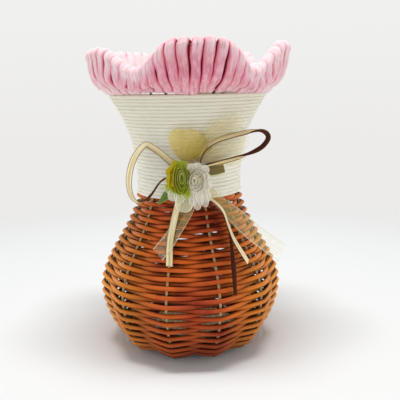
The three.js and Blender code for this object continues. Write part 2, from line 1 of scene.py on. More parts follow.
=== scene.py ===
"""A rattan vase with a cord-wound neck, a paper-wrapped petal rim and a ribbon bow.

Sizes are in millimetres and meshes in metres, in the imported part's frame: +Z is up, the bow
faces -Y, and the origin is the middle of the foot, on the surface that the vase stands on.
"""

from __future__ import annotations

import logging
import math
from collections.abc import Callable, Sequence
from dataclasses import dataclass
from enum import Enum
from functools import cached_property

import bpy
import numpy as np
from mathutils import Matrix, Vector

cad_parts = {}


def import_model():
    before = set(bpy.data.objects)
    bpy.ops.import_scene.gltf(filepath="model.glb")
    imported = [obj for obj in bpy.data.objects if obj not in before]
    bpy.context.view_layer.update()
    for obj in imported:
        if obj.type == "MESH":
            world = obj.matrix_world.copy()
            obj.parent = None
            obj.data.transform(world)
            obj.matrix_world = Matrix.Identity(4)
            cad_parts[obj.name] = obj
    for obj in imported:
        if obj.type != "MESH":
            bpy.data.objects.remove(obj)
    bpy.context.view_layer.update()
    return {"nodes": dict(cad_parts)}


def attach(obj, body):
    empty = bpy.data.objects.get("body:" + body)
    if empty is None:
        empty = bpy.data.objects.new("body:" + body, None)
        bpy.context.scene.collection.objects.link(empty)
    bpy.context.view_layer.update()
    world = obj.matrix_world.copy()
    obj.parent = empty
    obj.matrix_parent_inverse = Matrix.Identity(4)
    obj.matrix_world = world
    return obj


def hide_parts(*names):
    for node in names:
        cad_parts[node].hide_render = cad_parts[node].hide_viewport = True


LOG = logging.getLogger("rattan_vase")
MM = 0.001
BODY = "root"
LEAST_SHEET = 10.0  # cloth at least this wide, in millimetres, has its length worked out in the bow
MERGED = 0.01  # points of a mesh closer than this, in millimetres, become one
HAIR = 1e-6  # keeps a divisor off zero, and a count of wraps off the next one

# Size and rate of each wave that an unevenness is made of
WAVES = ((1.0, 1.0), (0.7, 1.73), (0.5, 2.91))
# Two steps and a scale that scatter whole numbers, and a scale for a second draw
SCATTER = (12.9898, 78.233, 43758.5453)
SECOND_DRAW = 7.31
# Places between two points of a route, from which even ones are read
ROUTE_DETAIL = 40

# Takes shares along and across a grid, and gives a point or a value for each
Surface = Callable[[np.ndarray, np.ndarray], np.ndarray]

# Sockets of a Mix node, for colours and for numbers
MIX_FACTOR, MIX_A, MIX_B, MIX_RESULT = 0, 6, 7, 2
MIX_NUMBER_A, MIX_NUMBER_B, MIX_NUMBER = 2, 3, 0


class Cloth(Enum):
    """The cloths of the bow and its flower, by the record's material slots."""

    GOLD = "gold_ribbon"
    BROWN = "brown_ribbon"
    # Painted shade: a darker olive copy of the gold ribbon, for gold ribbon lying in shade
    OLIVE = "olive_ribbon"
    CREAM = "cream_organza"
    WHITE = "white_organza"
    GREEN = "green_organza"
    LEAF = "green_leaf"


def linear(hex_colour: str) -> tuple[float, float, float, float]:
    """Turn an sRGB hex colour into linear light.

    Args:
        hex_colour: A colour such as "#c8823c".

    Returns:
        Red, green, blue and an alpha of 1, in linear light.
    """
    shares = [int(hex_colour[i : i + 2], 16) / 255 for i in (1, 3, 5)]
    light = [s / 12.92 if s <= 0.04045 else ((s + 0.055) / 1.055) ** 2.4 for s in shares]
    return light[0], light[1], light[2], 1.0


def add_node(
    tree: bpy.types.NodeTree,
    kind: str,
    inputs: dict[str | int, object] | None = None,
    **settings: object,
) -> bpy.types.Node:
    """Add a node with its settings, and set or link its inputs.

    Args:
        tree: The node tree to add to.
        kind: The node's type, such as "ShaderNodeTexNoise".
        inputs: Input sockets by name or number, each with a value or an output to link from.
        settings: The node's own properties.

    Returns:
        The new node.
    """
    node = tree.nodes.new(kind)
    for key, value in settings.items():
        setattr(node, key, value)
    for key, value in (inputs or {}).items():
        if isinstance(value, bpy.types.NodeSocket):
            tree.links.new(value, node.inputs[key])
        else:
            node.inputs[key].default_value = value
    return node


def blank_material(name: str) -> tuple[bpy.types.Material, bpy.types.NodeTree]:
    """Start a material with an empty node tree.

    Args:
        name: The material's name.

    Returns:
        The material and its node tree.
    """
    material = bpy.data.materials.new(name)
    material.use_nodes = True
    material.node_tree.nodes.clear()
    return material, material.node_tree


def wander(along: np.ndarray, wavelength: float, seed: int) -> np.ndarray:
    """A smooth, seeded unevenness between about -1 and 1.

    Args:
        along: Where to read it.
        wavelength: Its main wavelength, in the units of along.
        seed: A number for each use.

    Returns:
        The unevenness at each place.
    """
    phases = np.random.default_rng(seed).uniform(0, 2 * math.pi, len(WAVES))
    turns = 2 * math.pi * np.asarray(along) / wavelength
    waves = [size * np.sin(rate * turns + phase) for (size, rate), phase in zip(WAVES, phases)]
    return sum(waves) / sum(size for size, _ in WAVES)


def uneven(along: np.ndarray, how: tuple[float, float, int]) -> np.ndarray:
    """An unevenness with a size, a main wavelength and a seed, in that order."""
    size, wavelength, seed = how
    return size * wander(along, wavelength, seed)


def scattered(number: np.ndarray, use: int) -> np.ndarray:
    """A share from 0 to 1 for each whole number, which looks random and is the same each time."""
    return np.modf(np.abs(np.sin(SCATTER[0] * number + SCATTER[1] * use)) * SCATTER[2])[0]


def smooth_route(points: Sequence[Sequence[float]], count: int) -> np.ndarray:
    """A smooth route through points, with evenly spaced places along it.

    Args:
        points: The points that the route goes through.
        count: How many places to return.

    Returns:
        The places, one row each.
    """
    knots = np.asarray(points, dtype=float)
    steps = np.sqrt(np.linalg.norm(np.diff(knots, axis=0), axis=1))
    marks = np.concatenate([[0], np.cumsum(steps)])
    slopes = np.gradient(knots, marks, axis=0)
    fine = np.linspace(0, marks[-1], ROUTE_DETAIL * len(knots))
    i = np.clip(np.searchsorted(marks, fine, side="right") - 1, 0, len(steps) - 1)
    span = steps[i][:, None]
    t = (fine - marks[i])[:, None] / span
    places = ((1 + 2 * t) * (1 - t) ** 2 * knots[i] + t * (1 - t) ** 2 * span * slopes[i]
              + t * t * (3 - 2 * t) * knots[i + 1] + t * t * (t - 1) * span * slopes[i + 1])
    lengths = np.concatenate([[0], np.cumsum(np.linalg.norm(np.diff(places, axis=0), axis=1))])
    even = np.linspace(0, lengths[-1], count)
    return np.stack([np.interp(even, lengths, column) for column in places.T], axis=1)


def along_keys(share: np.ndarray, values: Sequence[float]) -> np.ndarray:
    """Values spread evenly from share 0 to 1, read straight from one to the next."""
    return np.interp(share, np.linspace(0, 1, len(values)), values)


def along_route(route: np.ndarray, share: np.ndarray) -> tuple[np.ndarray, np.ndarray]:
    """A route's places, and the level way across it, at shares along it.

    Args:
        route: The route's points, one row each.
        share: Shares along it, from 0 to 1.

    Returns:
        The places and the directions, one row each.
    """
    marks = np.linspace(0, 1, len(route))
    way = np.gradient(route, axis=0)[:, :2]
    way /= np.linalg.norm(way, axis=1)[:, None] + HAIR
    places = np.stack([np.interp(share, marks, column) for column in route.T], axis=1)
    across = np.stack([np.interp(share, marks, column) for column in (-way[:, 1], way[:, 0])], axis=1)
    return places, across


def select_only(piece: bpy.types.Object) -> None:
    """Make a piece the only one selected, and the active one.

    Args:
        piece: The piece to select.
    """
    bpy.ops.object.select_all(action="DESELECT")
    piece.select_set(True)
    bpy.context.view_layer.objects.active = piece


def close_mesh(piece: bpy.types.Object) -> None:
    """Merge a mesh's seams, fill its open ends and turn its faces outwards.

    Args:
        piece: The mesh, which is changed.
    """
    select_only(piece)
    bpy.ops.object.mode_set(mode="EDIT")
    bpy.ops.mesh.select_all(action="SELECT")
    bpy.ops.mesh.remove_doubles(threshold=MERGED * MM)
    bpy.ops.mesh.fill_holes(sides=0)
    bpy.ops.mesh.select_all(action="SELECT")
    bpy.ops.mesh.normals_make_consistent(inside=False)
    bpy.ops.object.mode_set(mode="OBJECT")


def strand(name: str, route: np.ndarray, radius: float, hoop: bool = False) -> bpy.types.Object:
    """Run a round strand along a route, as a bevelled curve that is then made a mesh.

    Args:
        name: The piece's name.
        route: Points along its middle, in millimetres.
        radius: Its radius, in millimetres.
        hoop: Whether its ends join.

    Returns:
        The strand, with a UV map in metres: round it, then along it.
    """
    bpy.ops.object.select_all(action="DESELECT")
    bpy.ops.curve.primitive_nurbs_path_add()
    piece = bpy.context.object
    piece.name = name
    curve = piece.data
    curve.splines.clear()
    spline = curve.splines.new("POLY")
    spline.points.add(len(route) - 1)
    places = np.column_stack([route * MM, np.ones(len(route))])
    spline.points.foreach_set("co", places.ravel())
    spline.use_cyclic_u = hoop
    curve.dimensions = "3D"
    curve.bevel_depth = radius * MM
    curve.bevel_resolution = 3
    curve.use_fill_caps = not hoop
    bpy.ops.object.convert(target="MESH")
    piece = bpy.context.object
    length = np.linalg.norm(np.diff(route, axis=0), axis=1).sum()
    scale_uv(piece, (2 * math.pi * radius * MM, length * MM))
    close_mesh(piece)
    bpy.ops.object.shade_smooth()
    return piece


def scale_uv(piece: bpy.types.Object, size: tuple[float, float]) -> None:
    """Stretch a UV map of 0 to 1 to a real size in metres.

    Args:
        piece: The piece whose map it is.
        size: The size of the whole map along each axis.
    """
    layer = piece.data.uv_layers[0].data
    uv = np.empty(2 * len(layer), dtype=np.float32)
    layer.foreach_get("uv", uv)
    layer.foreach_set("uv", (uv.reshape(-1, 2) * np.float32(size)).ravel())


def shaped_grid(
    name: str,
    spans: tuple[int, int],
    place: Surface,
    size: tuple[float, float],
    **marks: Surface,
) -> bpy.types.Object:
    """Add a grid and move its points onto a surface.

    Args:
        name: The piece's name.
        spans: How many faces it has along and across.
        place: Gives the points, in millimetres, for shares along and across from 0 to 1.
        size: The flat size along and across, in millimetres, for the UV map.
        marks: Give values from 0 to 1 at each point, by attribute, for its material to read.

    Returns:
        The grid, with a UV map in metres, along it and then across it, and with an attribute
        "hem" that goes from 0 along its middle to 1 at its two edges.
    """
    bpy.ops.object.select_all(action="DESELECT")
    bpy.ops.mesh.primitive_grid_add(x_subdivisions=spans[0], y_subdivisions=spans[1], size=1)
    piece = bpy.context.object
    piece.name = name
    points = np.empty(3 * len(piece.data.vertices), dtype=np.float32)
    piece.data.vertices.foreach_get("co", points)
    along, across = points.reshape(-1, 3).astype(float)[:, :2].T + 0.5
    places = place(along, across) * MM
    piece.data.vertices.foreach_set("co", places.astype(np.float32).ravel())
    piece.data.update()
    scale_uv(piece, (size[0] * MM, size[1] * MM))
    marks = {"hem": lambda _, over: np.abs(2 * over - 1), **marks}
    for mark_name, value in marks.items():
        layer = piece.data.attributes.new(mark_name, "FLOAT", "POINT")
        layer.data.foreach_set("value", value(along, across).astype(np.float32))
    bpy.ops.object.shade_smooth()
    return piece


def thicken(piece: bpy.types.Object, thickness: float, reverse: int = 0) -> None:
    """Give a sheet its thickness, half to each side.

    Args:
        piece: The sheet.
        thickness: Its thickness, in millimetres.
        reverse: How many material slots further on the reverse side's finish is.
    """
    select_only(piece)
    solid = piece.modifiers.new("thickness", "SOLIDIFY")
    solid.thickness = thickness * MM
    solid.offset = 0
    solid.use_even_offset = True
    solid.material_offset = reverse
    bpy.ops.object.modifier_apply(modifier=solid.name)


def settle(
    piece: bpy.types.Object,
    node: str,
    slot: str,
    *materials: bpy.types.Material,
) -> bpy.types.Object:
    """Dress a piece and put it in its solid's place.

    Args:
        piece: The finished piece.
        node: The solid that it stands for.
        slot: The record's material slot; not used.
        materials: Its materials, in the order of its slots.

    Returns:
        The piece.
    """
    for material in materials:
        if material.name not in piece.data.materials:
            piece.data.materials.append(material)
    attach(piece, BODY)
    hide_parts(node)
    LOG.info("%s: %d faces", piece.name, len(piece.data.polygons))
    return piece


def blend(
    tree: bpy.types.NodeTree,
    factor: bpy.types.NodeSocket,
    first: str | bpy.types.NodeSocket,
    second: str | bpy.types.NodeSocket,
) -> bpy.types.NodeSocket:
    """Blend two colours by a factor.

    Args:
        tree: The node tree to add to.
        factor: The output that gives the second colour's share.
        first: A hex colour or an output.
        second: A hex colour or an output.

    Returns:
        The output that gives the blended colour.
    """
    a, b = (linear(side) if isinstance(side, str) else side for side in (first, second))
    node = add_node(tree, "ShaderNodeMix", {MIX_FACTOR: factor, MIX_A: a, MIX_B: b}, data_type="RGBA")
    return node.outputs[MIX_RESULT]


def stretch(
    tree: bpy.types.NodeTree,
    value: bpy.types.NodeSocket,
    span: tuple[float, float],
    onto: tuple[float, float] = (0.0, 1.0),
) -> bpy.types.NodeSocket:
    """Stretch an output's values from one span onto another, and hold them at its ends.

    Args:
        tree: The node tree to add to.
        value: The output to stretch.
        span: The values that it goes from and to.
        onto: What those two become.

    Returns:
        The output that gives the stretched values.
    """
    node = add_node(tree, "ShaderNodeMapRange", {
        "Value": value, "From Min": span[0], "From Max": span[1], "To Min": onto[0], "To Max": onto[1]})
    return node.outputs["Result"]


def by_height(
    tree: bpy.types.NodeTree,
    place: bpy.types.NodeSocket,
    span: tuple[float, float],
    onto: tuple[float, float] = (0.0, 1.0),
) -> bpy.types.NodeSocket:
    """Values that change with height, over a span in millimetres."""
    parts = add_node(tree, "ShaderNodeSeparateXYZ", {"Vector": place}).outputs
    return stretch(tree, parts["Z"], (span[0] * MM, span[1] * MM), onto)


def reckon(
    tree: bpy.types.NodeTree,
    operation: str,
    first: bpy.types.NodeSocket,
    second: bpy.types.NodeSocket | float = 0.0,
) -> bpy.types.NodeSocket:
    """Work out one value from one or two others, such as "ADD" or "ABSOLUTE"."""
    return add_node(tree, "ShaderNodeMath", {0: first, 1: second}, operation=operation).outputs[0]


def noise(
    tree: bpy.types.NodeTree,
    place: bpy.types.NodeSocket,
    grain: tuple[float, float, float],
    detail: float,
) -> bpy.types.NodeSocket:
    """A noise whose grains have a real size.

    Args:
        tree: The node tree to add to.
        place: The output that gives places in metres.
        grain: The size of a grain along each axis, in millimetres.
        detail: How many finer layers it has.

    Returns:
        The output that gives the noise, from about 0.2 to 0.8.
    """
    scaled = add_node(tree, "ShaderNodeMapping", {
        "Vector": place, "Scale": tuple(1 / (size * MM) for size in grain)})
    node = add_node(tree, "ShaderNodeTexNoise", {
        "Vector": scaled.outputs["Vector"], "Scale": 1.0, "Detail": detail})
    return node.outputs["Fac"]


def bands(
    tree: bpy.types.NodeTree,
    place: bpy.types.NodeSocket,
    pitch: float,
    distortion: float,
    direction: str,
) -> bpy.types.NodeSocket:
    """Soft bands across one axis, a pitch in millimetres apart.

    Args:
        tree: The node tree to add to.
        place: The output that gives places in metres.
        pitch: The distance from one band to the next.
        distortion: How much the bands waver.
        direction: The axis that they lie across.

    Returns:
        The output that gives the bands, from 0 to 1.
    """
    # A Wave texture has 20 bands in 2 pi units of its scale.
    node = add_node(tree, "ShaderNodeTexWave", {
        "Vector": place, "Scale": 2 * math.pi / (20 * pitch * MM), "Distortion": distortion,
        "Detail": 2.0}, bands_direction=direction)
    return node.outputs["Fac"]


def bumped(
    tree: bpy.types.NodeTree,
    height: bpy.types.NodeSocket,
    strength: float,
    depth: float,
) -> bpy.types.NodeSocket:
    """The normal of a surface that a pattern raises by up to a depth in millimetres.

    Args:
        tree: The node tree to add to.
        height: The output that gives the pattern.
        strength: How much of it shows, from 0 to 1.
        depth: How far it raises the surface.

    Returns:
        The output that gives the normal.
    """
    node = add_node(tree, "ShaderNodeBump", {
        "Height": height, "Strength": strength, "Distance": depth * MM})
    return node.outputs["Normal"]


def mark(tree: bpy.types.NodeTree, name: str) -> bpy.types.NodeSocket:
    """The output of one of a piece's own attributes, which is 0 where it has none."""
    return add_node(tree, "ShaderNodeAttribute", attribute_name=name).outputs["Fac"]


def surface(material: bpy.types.Material, inputs: dict[str, object]) -> bpy.types.Material:
    """Give a material its shader, with these inputs, and its output.

    Args:
        material: The material, with its node tree.
        inputs: The shader's inputs, by name.

    Returns:
        The material.
    """
    tree = material.node_tree
    shader = add_node(tree, "ShaderNodeBsdfPrincipled", inputs)
    add_node(tree, "ShaderNodeOutputMaterial", {"Surface": shader.outputs["BSDF"]})
    return material


@dataclass(frozen=True)
class StainedRattan:
    """Round rattan core, stained orange-brown and varnished.

    The stain sinks unevenly, so strands turn from orange to red-brown along their length.
    Painted shade darkens it round the foot, painted light makes it lighter and yellower at the
    sides, and painted shade makes it darkest on the inside and where a strand lies behind. Pores
    draw short dark lines along the strand, and the varnish gives each bend a soft highlight.
    """

    name: str = "stained varnished rattan"
    light: str = "#da641a"
    deep: str = "#9a2c09"
    # Painted light: a lighter, yellower tone for the sides
    lit_side: str = "#ffa522"
    pore: str = "#2e0c01"
    # Painted shade for the inside of the wall and where a strand lies behind
    inside: str = "#2c0e03"
    # Painted shade: a darker tone round the foot
    foot: str = "#5f2407"
    foot_shade_span: tuple[float, float] = (4.0, 44.0)
    foot_shade_share: float = 0.75
    lit_side_span: tuple[float, float] = (24.0, 76.0)
    lit_side_share: float = 0.85
    pore_width: float = 0.5
    pore_length: float = 16.0
    pore_span: tuple[float, float] = (0.45, 0.8)
    pore_share: float = 0.65
    patch: float = 34.0
    patch_span: tuple[float, float] = (0.35, 0.68)
    roughness: float = 0.42
    shine: float = 0.22
    relief: tuple[float, float] = (0.35, 0.2)

    def material(self) -> bpy.types.Material:
        """Make the material.

        Returns:
            The material.
        """
        material, tree = blank_material(self.name)
        place = add_node(tree, "ShaderNodeTexCoord").outputs
        patches = noise(tree, place["Object"], (self.patch,) * 3, detail=3.0)
        tone = blend(tree, stretch(tree, patches, self.patch_span), self.light, self.deep)
        # Painted shade: darker towards the foot
        low = by_height(tree, place["Object"], self.foot_shade_span, (self.foot_shade_share, 0.0))
        tone = blend(tree, low, tone, self.foot)
        # Painted light: lighter and yellower the further a place is out to the side
        parts = add_node(tree, "ShaderNodeSeparateXYZ", {"Vector": place["Object"]}).outputs
        sideways = reckon(tree, "ABSOLUTE", parts["X"])
        span = (self.lit_side_span[0] * MM, self.lit_side_span[1] * MM)
        tone = blend(tree, stretch(tree, sideways, span, (0.0, self.lit_side_share)), tone, self.lit_side)
        grain = noise(tree, place["UV"], (self.pore_width, self.pore_length, 1.0), detail=4.0)
        pores = stretch(tree, grain, self.pore_span, (0.0, self.pore_share))
        varnished = blend(tree, pores, tone, self.pore)
        # Painted shade: darkest on the inside of the wall and where a strand lies behind
        colour = blend(tree, mark(tree, "inner"), varnished, self.inside)
        return surface(material, {
            "Base Color": colour, "Roughness": self.roughness, "Specular IOR Level": self.shine,
            "Normal": bumped(tree, grain, *self.relief)})


@dataclass(frozen=True)
class PeeledCane:
    """Peeled, unstained rattan: pale straw, matt, with faint darker fibre lines along it.

    The tops are a darker, dull brown-grey where they come out above the winding.
    """

    name: str = "peeled pale rattan"
    light: str = "#d8b985"
    dark: str = "#ad8856"
    dark_top: str = "#4f463f"
    dark_top_span: tuple[float, float] = (200.0, 206.0)
    fibre_width: float = 0.6
    fibre_length: float = 14.0
    roughness: float = 0.6
    relief: tuple[float, float] = (0.3, 0.15)

    def material(self) -> bpy.types.Material:
        """Make the material.

        Returns:
            The material.
        """
        material, tree = blank_material(self.name)
        place = add_node(tree, "ShaderNodeTexCoord").outputs
        grain = noise(tree, place["UV"], (self.fibre_width, self.fibre_length, 1.0), detail=3.0)
        colour = blend(tree, grain, self.light, self.dark)
        # Darker towards the tops
        with_dark_tops = blend(tree, by_height(tree, place["Object"], self.dark_top_span), colour, self.dark_top)
        return surface(material, {
            "Base Color": with_dark_tops, "Roughness": self.roughness,
            "Normal": bumped(tree, grain, *self.relief)})


@dataclass(frozen=True)
class TwistedCord:
    """White twisted paper cord: matt and warm white, with slanting twist lines round each turn.

    Towards the mouth it is painted darker and a little yellower, as painted shade under the petal rim.
    """

    name: str = "white twisted paper cord"
    light: str = "#f8f6ea"
    shade: str = "#ece8d8"
    # Painted shade: a darker, yellower tone towards the mouth, under the petal rim
    top_shade: str = "#e2decb"
    top_shade_span: tuple[float, float] = (150.0, 205.0)
    twist_pitch: float = 2.6
    twist_slant: float = math.radians(35)
    twist_waver: float = 1.2
    patch: float = 26.0
    patch_span: tuple[float, float] = (0.4, 0.75)
    roughness: float = 0.7
    relief: tuple[float, float] = (0.25, 0.12)

    def material(self) -> bpy.types.Material:
        """Make the material.

        Returns:
            The material.
        """
        material, tree = blank_material(self.name)
        place = add_node(tree, "ShaderNodeTexCoord").outputs
        slant = add_node(tree, "ShaderNodeMapping", {
            "Vector": place["UV"], "Rotation": (0.0, 0.0, self.twist_slant)})
        twist = bands(tree, slant.outputs["Vector"], self.twist_pitch, self.twist_waver, "Y")
        patches = noise(tree, place["Object"], (self.patch,) * 3, detail=3.0)
        cord_tone = blend(tree, stretch(tree, patches, self.patch_span), self.light, self.shade)
        # Painted shade towards the mouth, under the petal rim
        colour = blend(tree, by_height(tree, place["Object"], self.top_shade_span), cord_tone, self.top_shade)
        return surface(material, {
            "Base Color": colour, "Roughness": self.roughness,
            "Normal": bumped(tree, twist, *self.relief)})


@dataclass(frozen=True)
class CrepePaper:
    """Pink crepe paper ribbon: matt and crumpled, nearly white over the rim and on the inside.

    That near white is painted light, which also pales it near the collar and at the sides. It is pink
    on the outside, and painted shade makes it crimson down in its creases and in the gaps between wraps.
    """

    name: str = "pink crepe paper"
    # Painted light: the white that the paper pales to
    white: str = "#f3dadd"
    pale: str = "#efb1bd"
    pink: str = "#d57d93"
    # Painted shade: the crimson of the creases and of the gaps between wraps
    crease: str = "#de4a70"
    crumple: tuple[float, float, float] = (2.4, 2.4, 6.0)
    crumple_span: tuple[float, float] = (0.35, 0.68)
    roughness: float = 0.85
    fuzz: float = 0.1
    relief: tuple[float, float] = (0.6, 0.9)

    def material(self) -> bpy.types.Material:
        """Make the material.

        Returns:
            The material.
        """
        material, tree = blank_material(self.name)
        place = add_node(tree, "ShaderNodeTexCoord").outputs
        crumples = noise(tree, place["Object"], self.crumple, detail=4.0)
        paper = blend(tree, stretch(tree, crumples, self.crumple_span), self.pale, self.pink)
        # Painted light pales the paper towards white, over the rim, at the sides and on the inside
        paper = blend(tree, mark(tree, "dye"), paper, self.white)
        # Painted shade: crimson in the creases and on the inner side that shows in the gaps
        colour = blend(tree, mark(tree, "crease"), paper, self.crease)
        return surface(material, {
            "Base Color": colour, "Roughness": self.roughness, "Sheen Weight": self.fuzz,
            "Normal": bumped(tree, crumples, *self.relief)})


@dataclass(frozen=True)
class SatinRibbon:
    """Woven satin ribbon: a soft gloss, with threads along it and a corded selvedge on each side."""

    name: str
    colour: str
    shade: str
    selvedge: str
    roughness: float = 0.38
    metallic: float = 0.0
    shine: float = 0.3
    thread: float = 0.9
    thread_length: float = 40.0
    thread_span: tuple[float, float] = (0.35, 0.65)
    selvedge_span: tuple[float, float] = (0.84, 0.94)
    relief: tuple[float, float] = (0.3, 0.1)

    def material(self) -> bpy.types.Material:
        """Make the material.

        Returns:
            The material.
        """
        material, tree = blank_material(self.name)
        place = add_node(tree, "ShaderNodeTexCoord").outputs
        # Threads are finer than the picture shows, so they are drawn as bands of several.
        threads = noise(tree, place["UV"], (self.thread_length, self.thread, 1.0), detail=3.0)
        face = blend(tree, stretch(tree, threads, self.thread_span), self.colour, self.shade)
        edge = stretch(tree, mark(tree, "hem"), self.selvedge_span)
        return surface(material, {
            "Base Color": blend(tree, edge, face, self.selvedge), "Roughness": self.roughness,
            "Metallic": self.metallic, "Specular IOR Level": self.shine,
            "Normal": bumped(tree, threads, *self.relief)})


@dataclass(frozen=True)
class Organza:
    """Sheer woven organza, dip-dyed through three colours: crisp threads with air between them.

    Painted shade makes it darker in its gathers and pleats, and its rolled hem catches the light
    as a bright line.
    """

    name: str
    colours: tuple[str, str, str]
    # The colour of the painted shade in the gathers and pleats
    gather: str
    hem: str
    covers: tuple[float, float]
    last_hem: str = "#fffdf2"
    hem_cover: float = 0.9
    hem_span: tuple[float, float] = (0.82, 0.94)
    thread: float = 1.1
    thread_length: float = 12.0
    thread_span: tuple[float, float] = (0.3, 0.7)
    thread_cover: float = 0.06
    roughness: float = 0.5
    shine: float = 0.15

    def material(self) -> bpy.types.Material:
        """Make the material.

        Returns:
            The material.
        """
        material, tree = blank_material(self.name)
        place = add_node(tree, "ShaderNodeTexCoord").outputs
        # Threads are about 0.15 mm apart; they are drawn coarser so that the weave shows.
        weave = noise(tree, place["UV"], (self.thread_length, self.thread, 1.0), detail=3.0)
        dye = mark(tree, "dye")
        second_half = stretch(tree, dye, (0.5, 1.0))
        first, middle, last = self.colours
        cloth = blend(tree, stretch(tree, dye, (0.0, 0.5)), first, middle)
        cloth = blend(tree, second_half, cloth, last)
        # Painted shade in the gathers and pleats
        cloth = blend(tree, mark(tree, "crease"), cloth, self.gather)
        hem = stretch(tree, mark(tree, "hem"), self.hem_span)
        rolled = blend(tree, second_half, self.hem, self.last_hem)
        threads = stretch(tree, weave, self.thread_span, (-self.thread_cover, self.thread_cover))
        cover = reckon(tree, "ADD", stretch(tree, dye, (0.0, 1.0), self.covers), threads)
        return surface(material, {
            "Base Color": blend(tree, hem, cloth, rolled), "Roughness": self.roughness,
            "Specular IOR Level": self.shine,
            "Alpha": reckon(tree, "MAXIMUM", cover, reckon(tree, "MULTIPLY", hem, self.hem_cover))})


@dataclass(frozen=True)
class PaintedWire:
    """Iron wire with a thin brown coat: dull, a little worn along it."""

    name: str = "brown coated wire"
    colour: str = "#4c3a30"
    worn: str = "#6d5644"
    wear: float = 6.0
    roughness: float = 0.5

    def material(self) -> bpy.types.Material:
        """Make the material.

        Returns:
            The material.
        """
        material, tree = blank_material(self.name)
        place = add_node(tree, "ShaderNodeTexCoord").outputs
        worn = noise(tree, place["Object"], (self.wear,) * 3, detail=4.0)
        colour = blend(tree, worn, self.colour, self.worn)
        return surface(material, {"Base Color": colour, "Roughness": self.roughness})


@dataclass(frozen=True)
class ShadedPineBoard:
    """Sawn and sanded pale pine: straight grain across the disc, with darker late-wood lines."""

    # Both colours are painted darker than pale pine, as painted shade inside the vase
    name: str = "sanded pine in painted shade"
    early: str = "#8b7655"
    late: str = "#735d3f"
    ring_width: float = 5.0
    ring_waver: float = 3.0
    roughness: float = 0.65
    relief: tuple[float, float] = (0.2, 0.15)

    def material(self) -> bpy.types.Material:
        """Make the material.

        Returns:
            The material.
        """
        material, tree = blank_material(self.name)
        place = add_node(tree, "ShaderNodeTexCoord").outputs
        grain = bands(tree, place["Object"], self.ring_width, self.ring_waver, "X")
        colour = blend(tree, grain, self.early, self.late)
        return surface(material, {
            "Base Color": colour, "Roughness": self.roughness,
            "Normal": bumped(tree, grain, *self.relief)})


def bezier(points: Sequence[tuple[float, float]], count: int) -> tuple[np.ndarray, np.ndarray]:
    """Points and tangents along a cubic Bezier curve.

    Args:
        points: Its four control points.
        count: How many points to return.

    Returns:
        The points and the tangents, one row each.
    """
    a, b, c, d = (np.array(p) for p in points)
    t = np.linspace(0, 1, count)[:, None]
    places = (1 - t) ** 3 * a + 3 * (1 - t) ** 2 * t * b + 3 * (1 - t) * t * t * c + t**3 * d
    tangents = (1 - t) ** 2 * (b - a) + 2 * (1 - t) * t * (c - b) + t * t * (d - c)
    return places, tangents


@dataclass(frozen=True)
class WallLine:
    """The line of the stakes from the foot board to the collar, as radius and height."""

    socket_radius: float = 30.3
    foot_radius: float = 49.0
    foot_level: float = 5.1
    foot_fullness: float = 10.0
    belly: tuple[float, float] = (72.5, 51.0)
    belly_under: float = 20.0
    belly_over: float = 28.0
    waist: tuple[float, float] = (38.9, 138.0)
    waist_under: float = 34.0
    waist_over: float = 36.0
    collar: tuple[float, float] = (64.0, 216.5)
    collar_fullness: float = 28.0
    collar_flare: float = math.radians(33)
    weave_reach: float = 4.6
    curve_points: int = 60

    @cached_property
    def _line(self) -> dict[str, np.ndarray]:
        """The line's lengths, points and outward normals.

        Returns:
            The lengths along it, and r, z, out_r and out_z at each.
        """
        flare = self.collar_fullness * np.array(
            [math.sin(self.collar_flare), math.cos(self.collar_flare)])
        curves = [
            [(self.foot_radius, self.foot_level),
             (self.foot_radius + self.foot_fullness, self.foot_level),
             (self.belly[0], self.belly[1] - self.belly_under), self.belly],
            [self.belly, (self.belly[0], self.belly[1] + self.belly_over),
             (self.waist[0], self.waist[1] - self.waist_under), self.waist],
            [self.waist, (self.waist[0], self.waist[1] + self.waist_over),
             tuple(np.array(self.collar) - flare), self.collar],
        ]
        places = [np.array([[self.socket_radius, self.foot_level]])]
        tangents = [np.array([[1.0, 0.0]])]
        for k, points in enumerate(curves):
            spots, ways = bezier(points, self.curve_points)
            places.append(spots[min(k, 1):])
            tangents.append(ways[min(k, 1):])
        at = np.concatenate(places)
        way = np.concatenate(tangents)
        way /= np.linalg.norm(way, axis=1)[:, None]
        lengths = np.concatenate([[0], np.cumsum(np.linalg.norm(np.diff(at, axis=0), axis=1))])
        return {"length": lengths, "r": at[:, 0], "z": at[:, 1], "out_r": way[:, 1], "out_z": -way[:, 0]}

    @property
    def length(self) -> float:
        """The line's whole length."""
        return float(self._line["length"][-1])

    def read(self, length: np.ndarray, what: str) -> np.ndarray:
        """The line's r, z, out_r or out_z at lengths along it."""
        return np.interp(length, self._line["length"], self._line[what])

    def place(self, length: np.ndarray, azimuth: np.ndarray, offset: np.ndarray | float) -> np.ndarray:
        """Points off the line.

        Args:
            length: How far along the line each is.
            azimuth: How far round the vase each is, from the front.
            offset: How far outside the line each is.

        Returns:
            The points, one row each, in millimetres.
        """
        radius = self.read(length, "r") + offset * self.read(length, "out_r")
        height = self.read(length, "z") + offset * self.read(length, "out_z")
        return np.column_stack([radius * np.sin(azimuth), -radius * np.cos(azimuth), height])

    def beside(self, points: np.ndarray) -> tuple[np.ndarray, np.ndarray]:
        """The wall's outward direction beside points, and how far inside the line each point is.

        Args:
            points: The points, one row each, in millimetres.

        Returns:
            The directions, one row each, and the depths.
        """
        radius = np.linalg.norm(points[:, :2], axis=1)
        line_r, out_r, out_z = (np.interp(points[:, 2], self._line["z"][1:], self._line[what][1:])
                                for what in ("r", "out_r", "out_z"))
        outward = np.column_stack([points[:, :2] * (out_r / radius)[:, None], out_z])
        return outward, (line_r - radius) * out_r

    def outside_radius(self, height: np.ndarray) -> np.ndarray:
        """The radius of the weave's outside at heights.

        Args:
            height: The heights, in millimetres.

        Returns:
            The radius at each.
        """
        line = {key: values[1:] for key, values in self._line.items()}
        radius = line["r"] + self.weave_reach * line["out_r"]
        return np.interp(height, line["z"] + self.weave_reach * line["out_z"], radius)


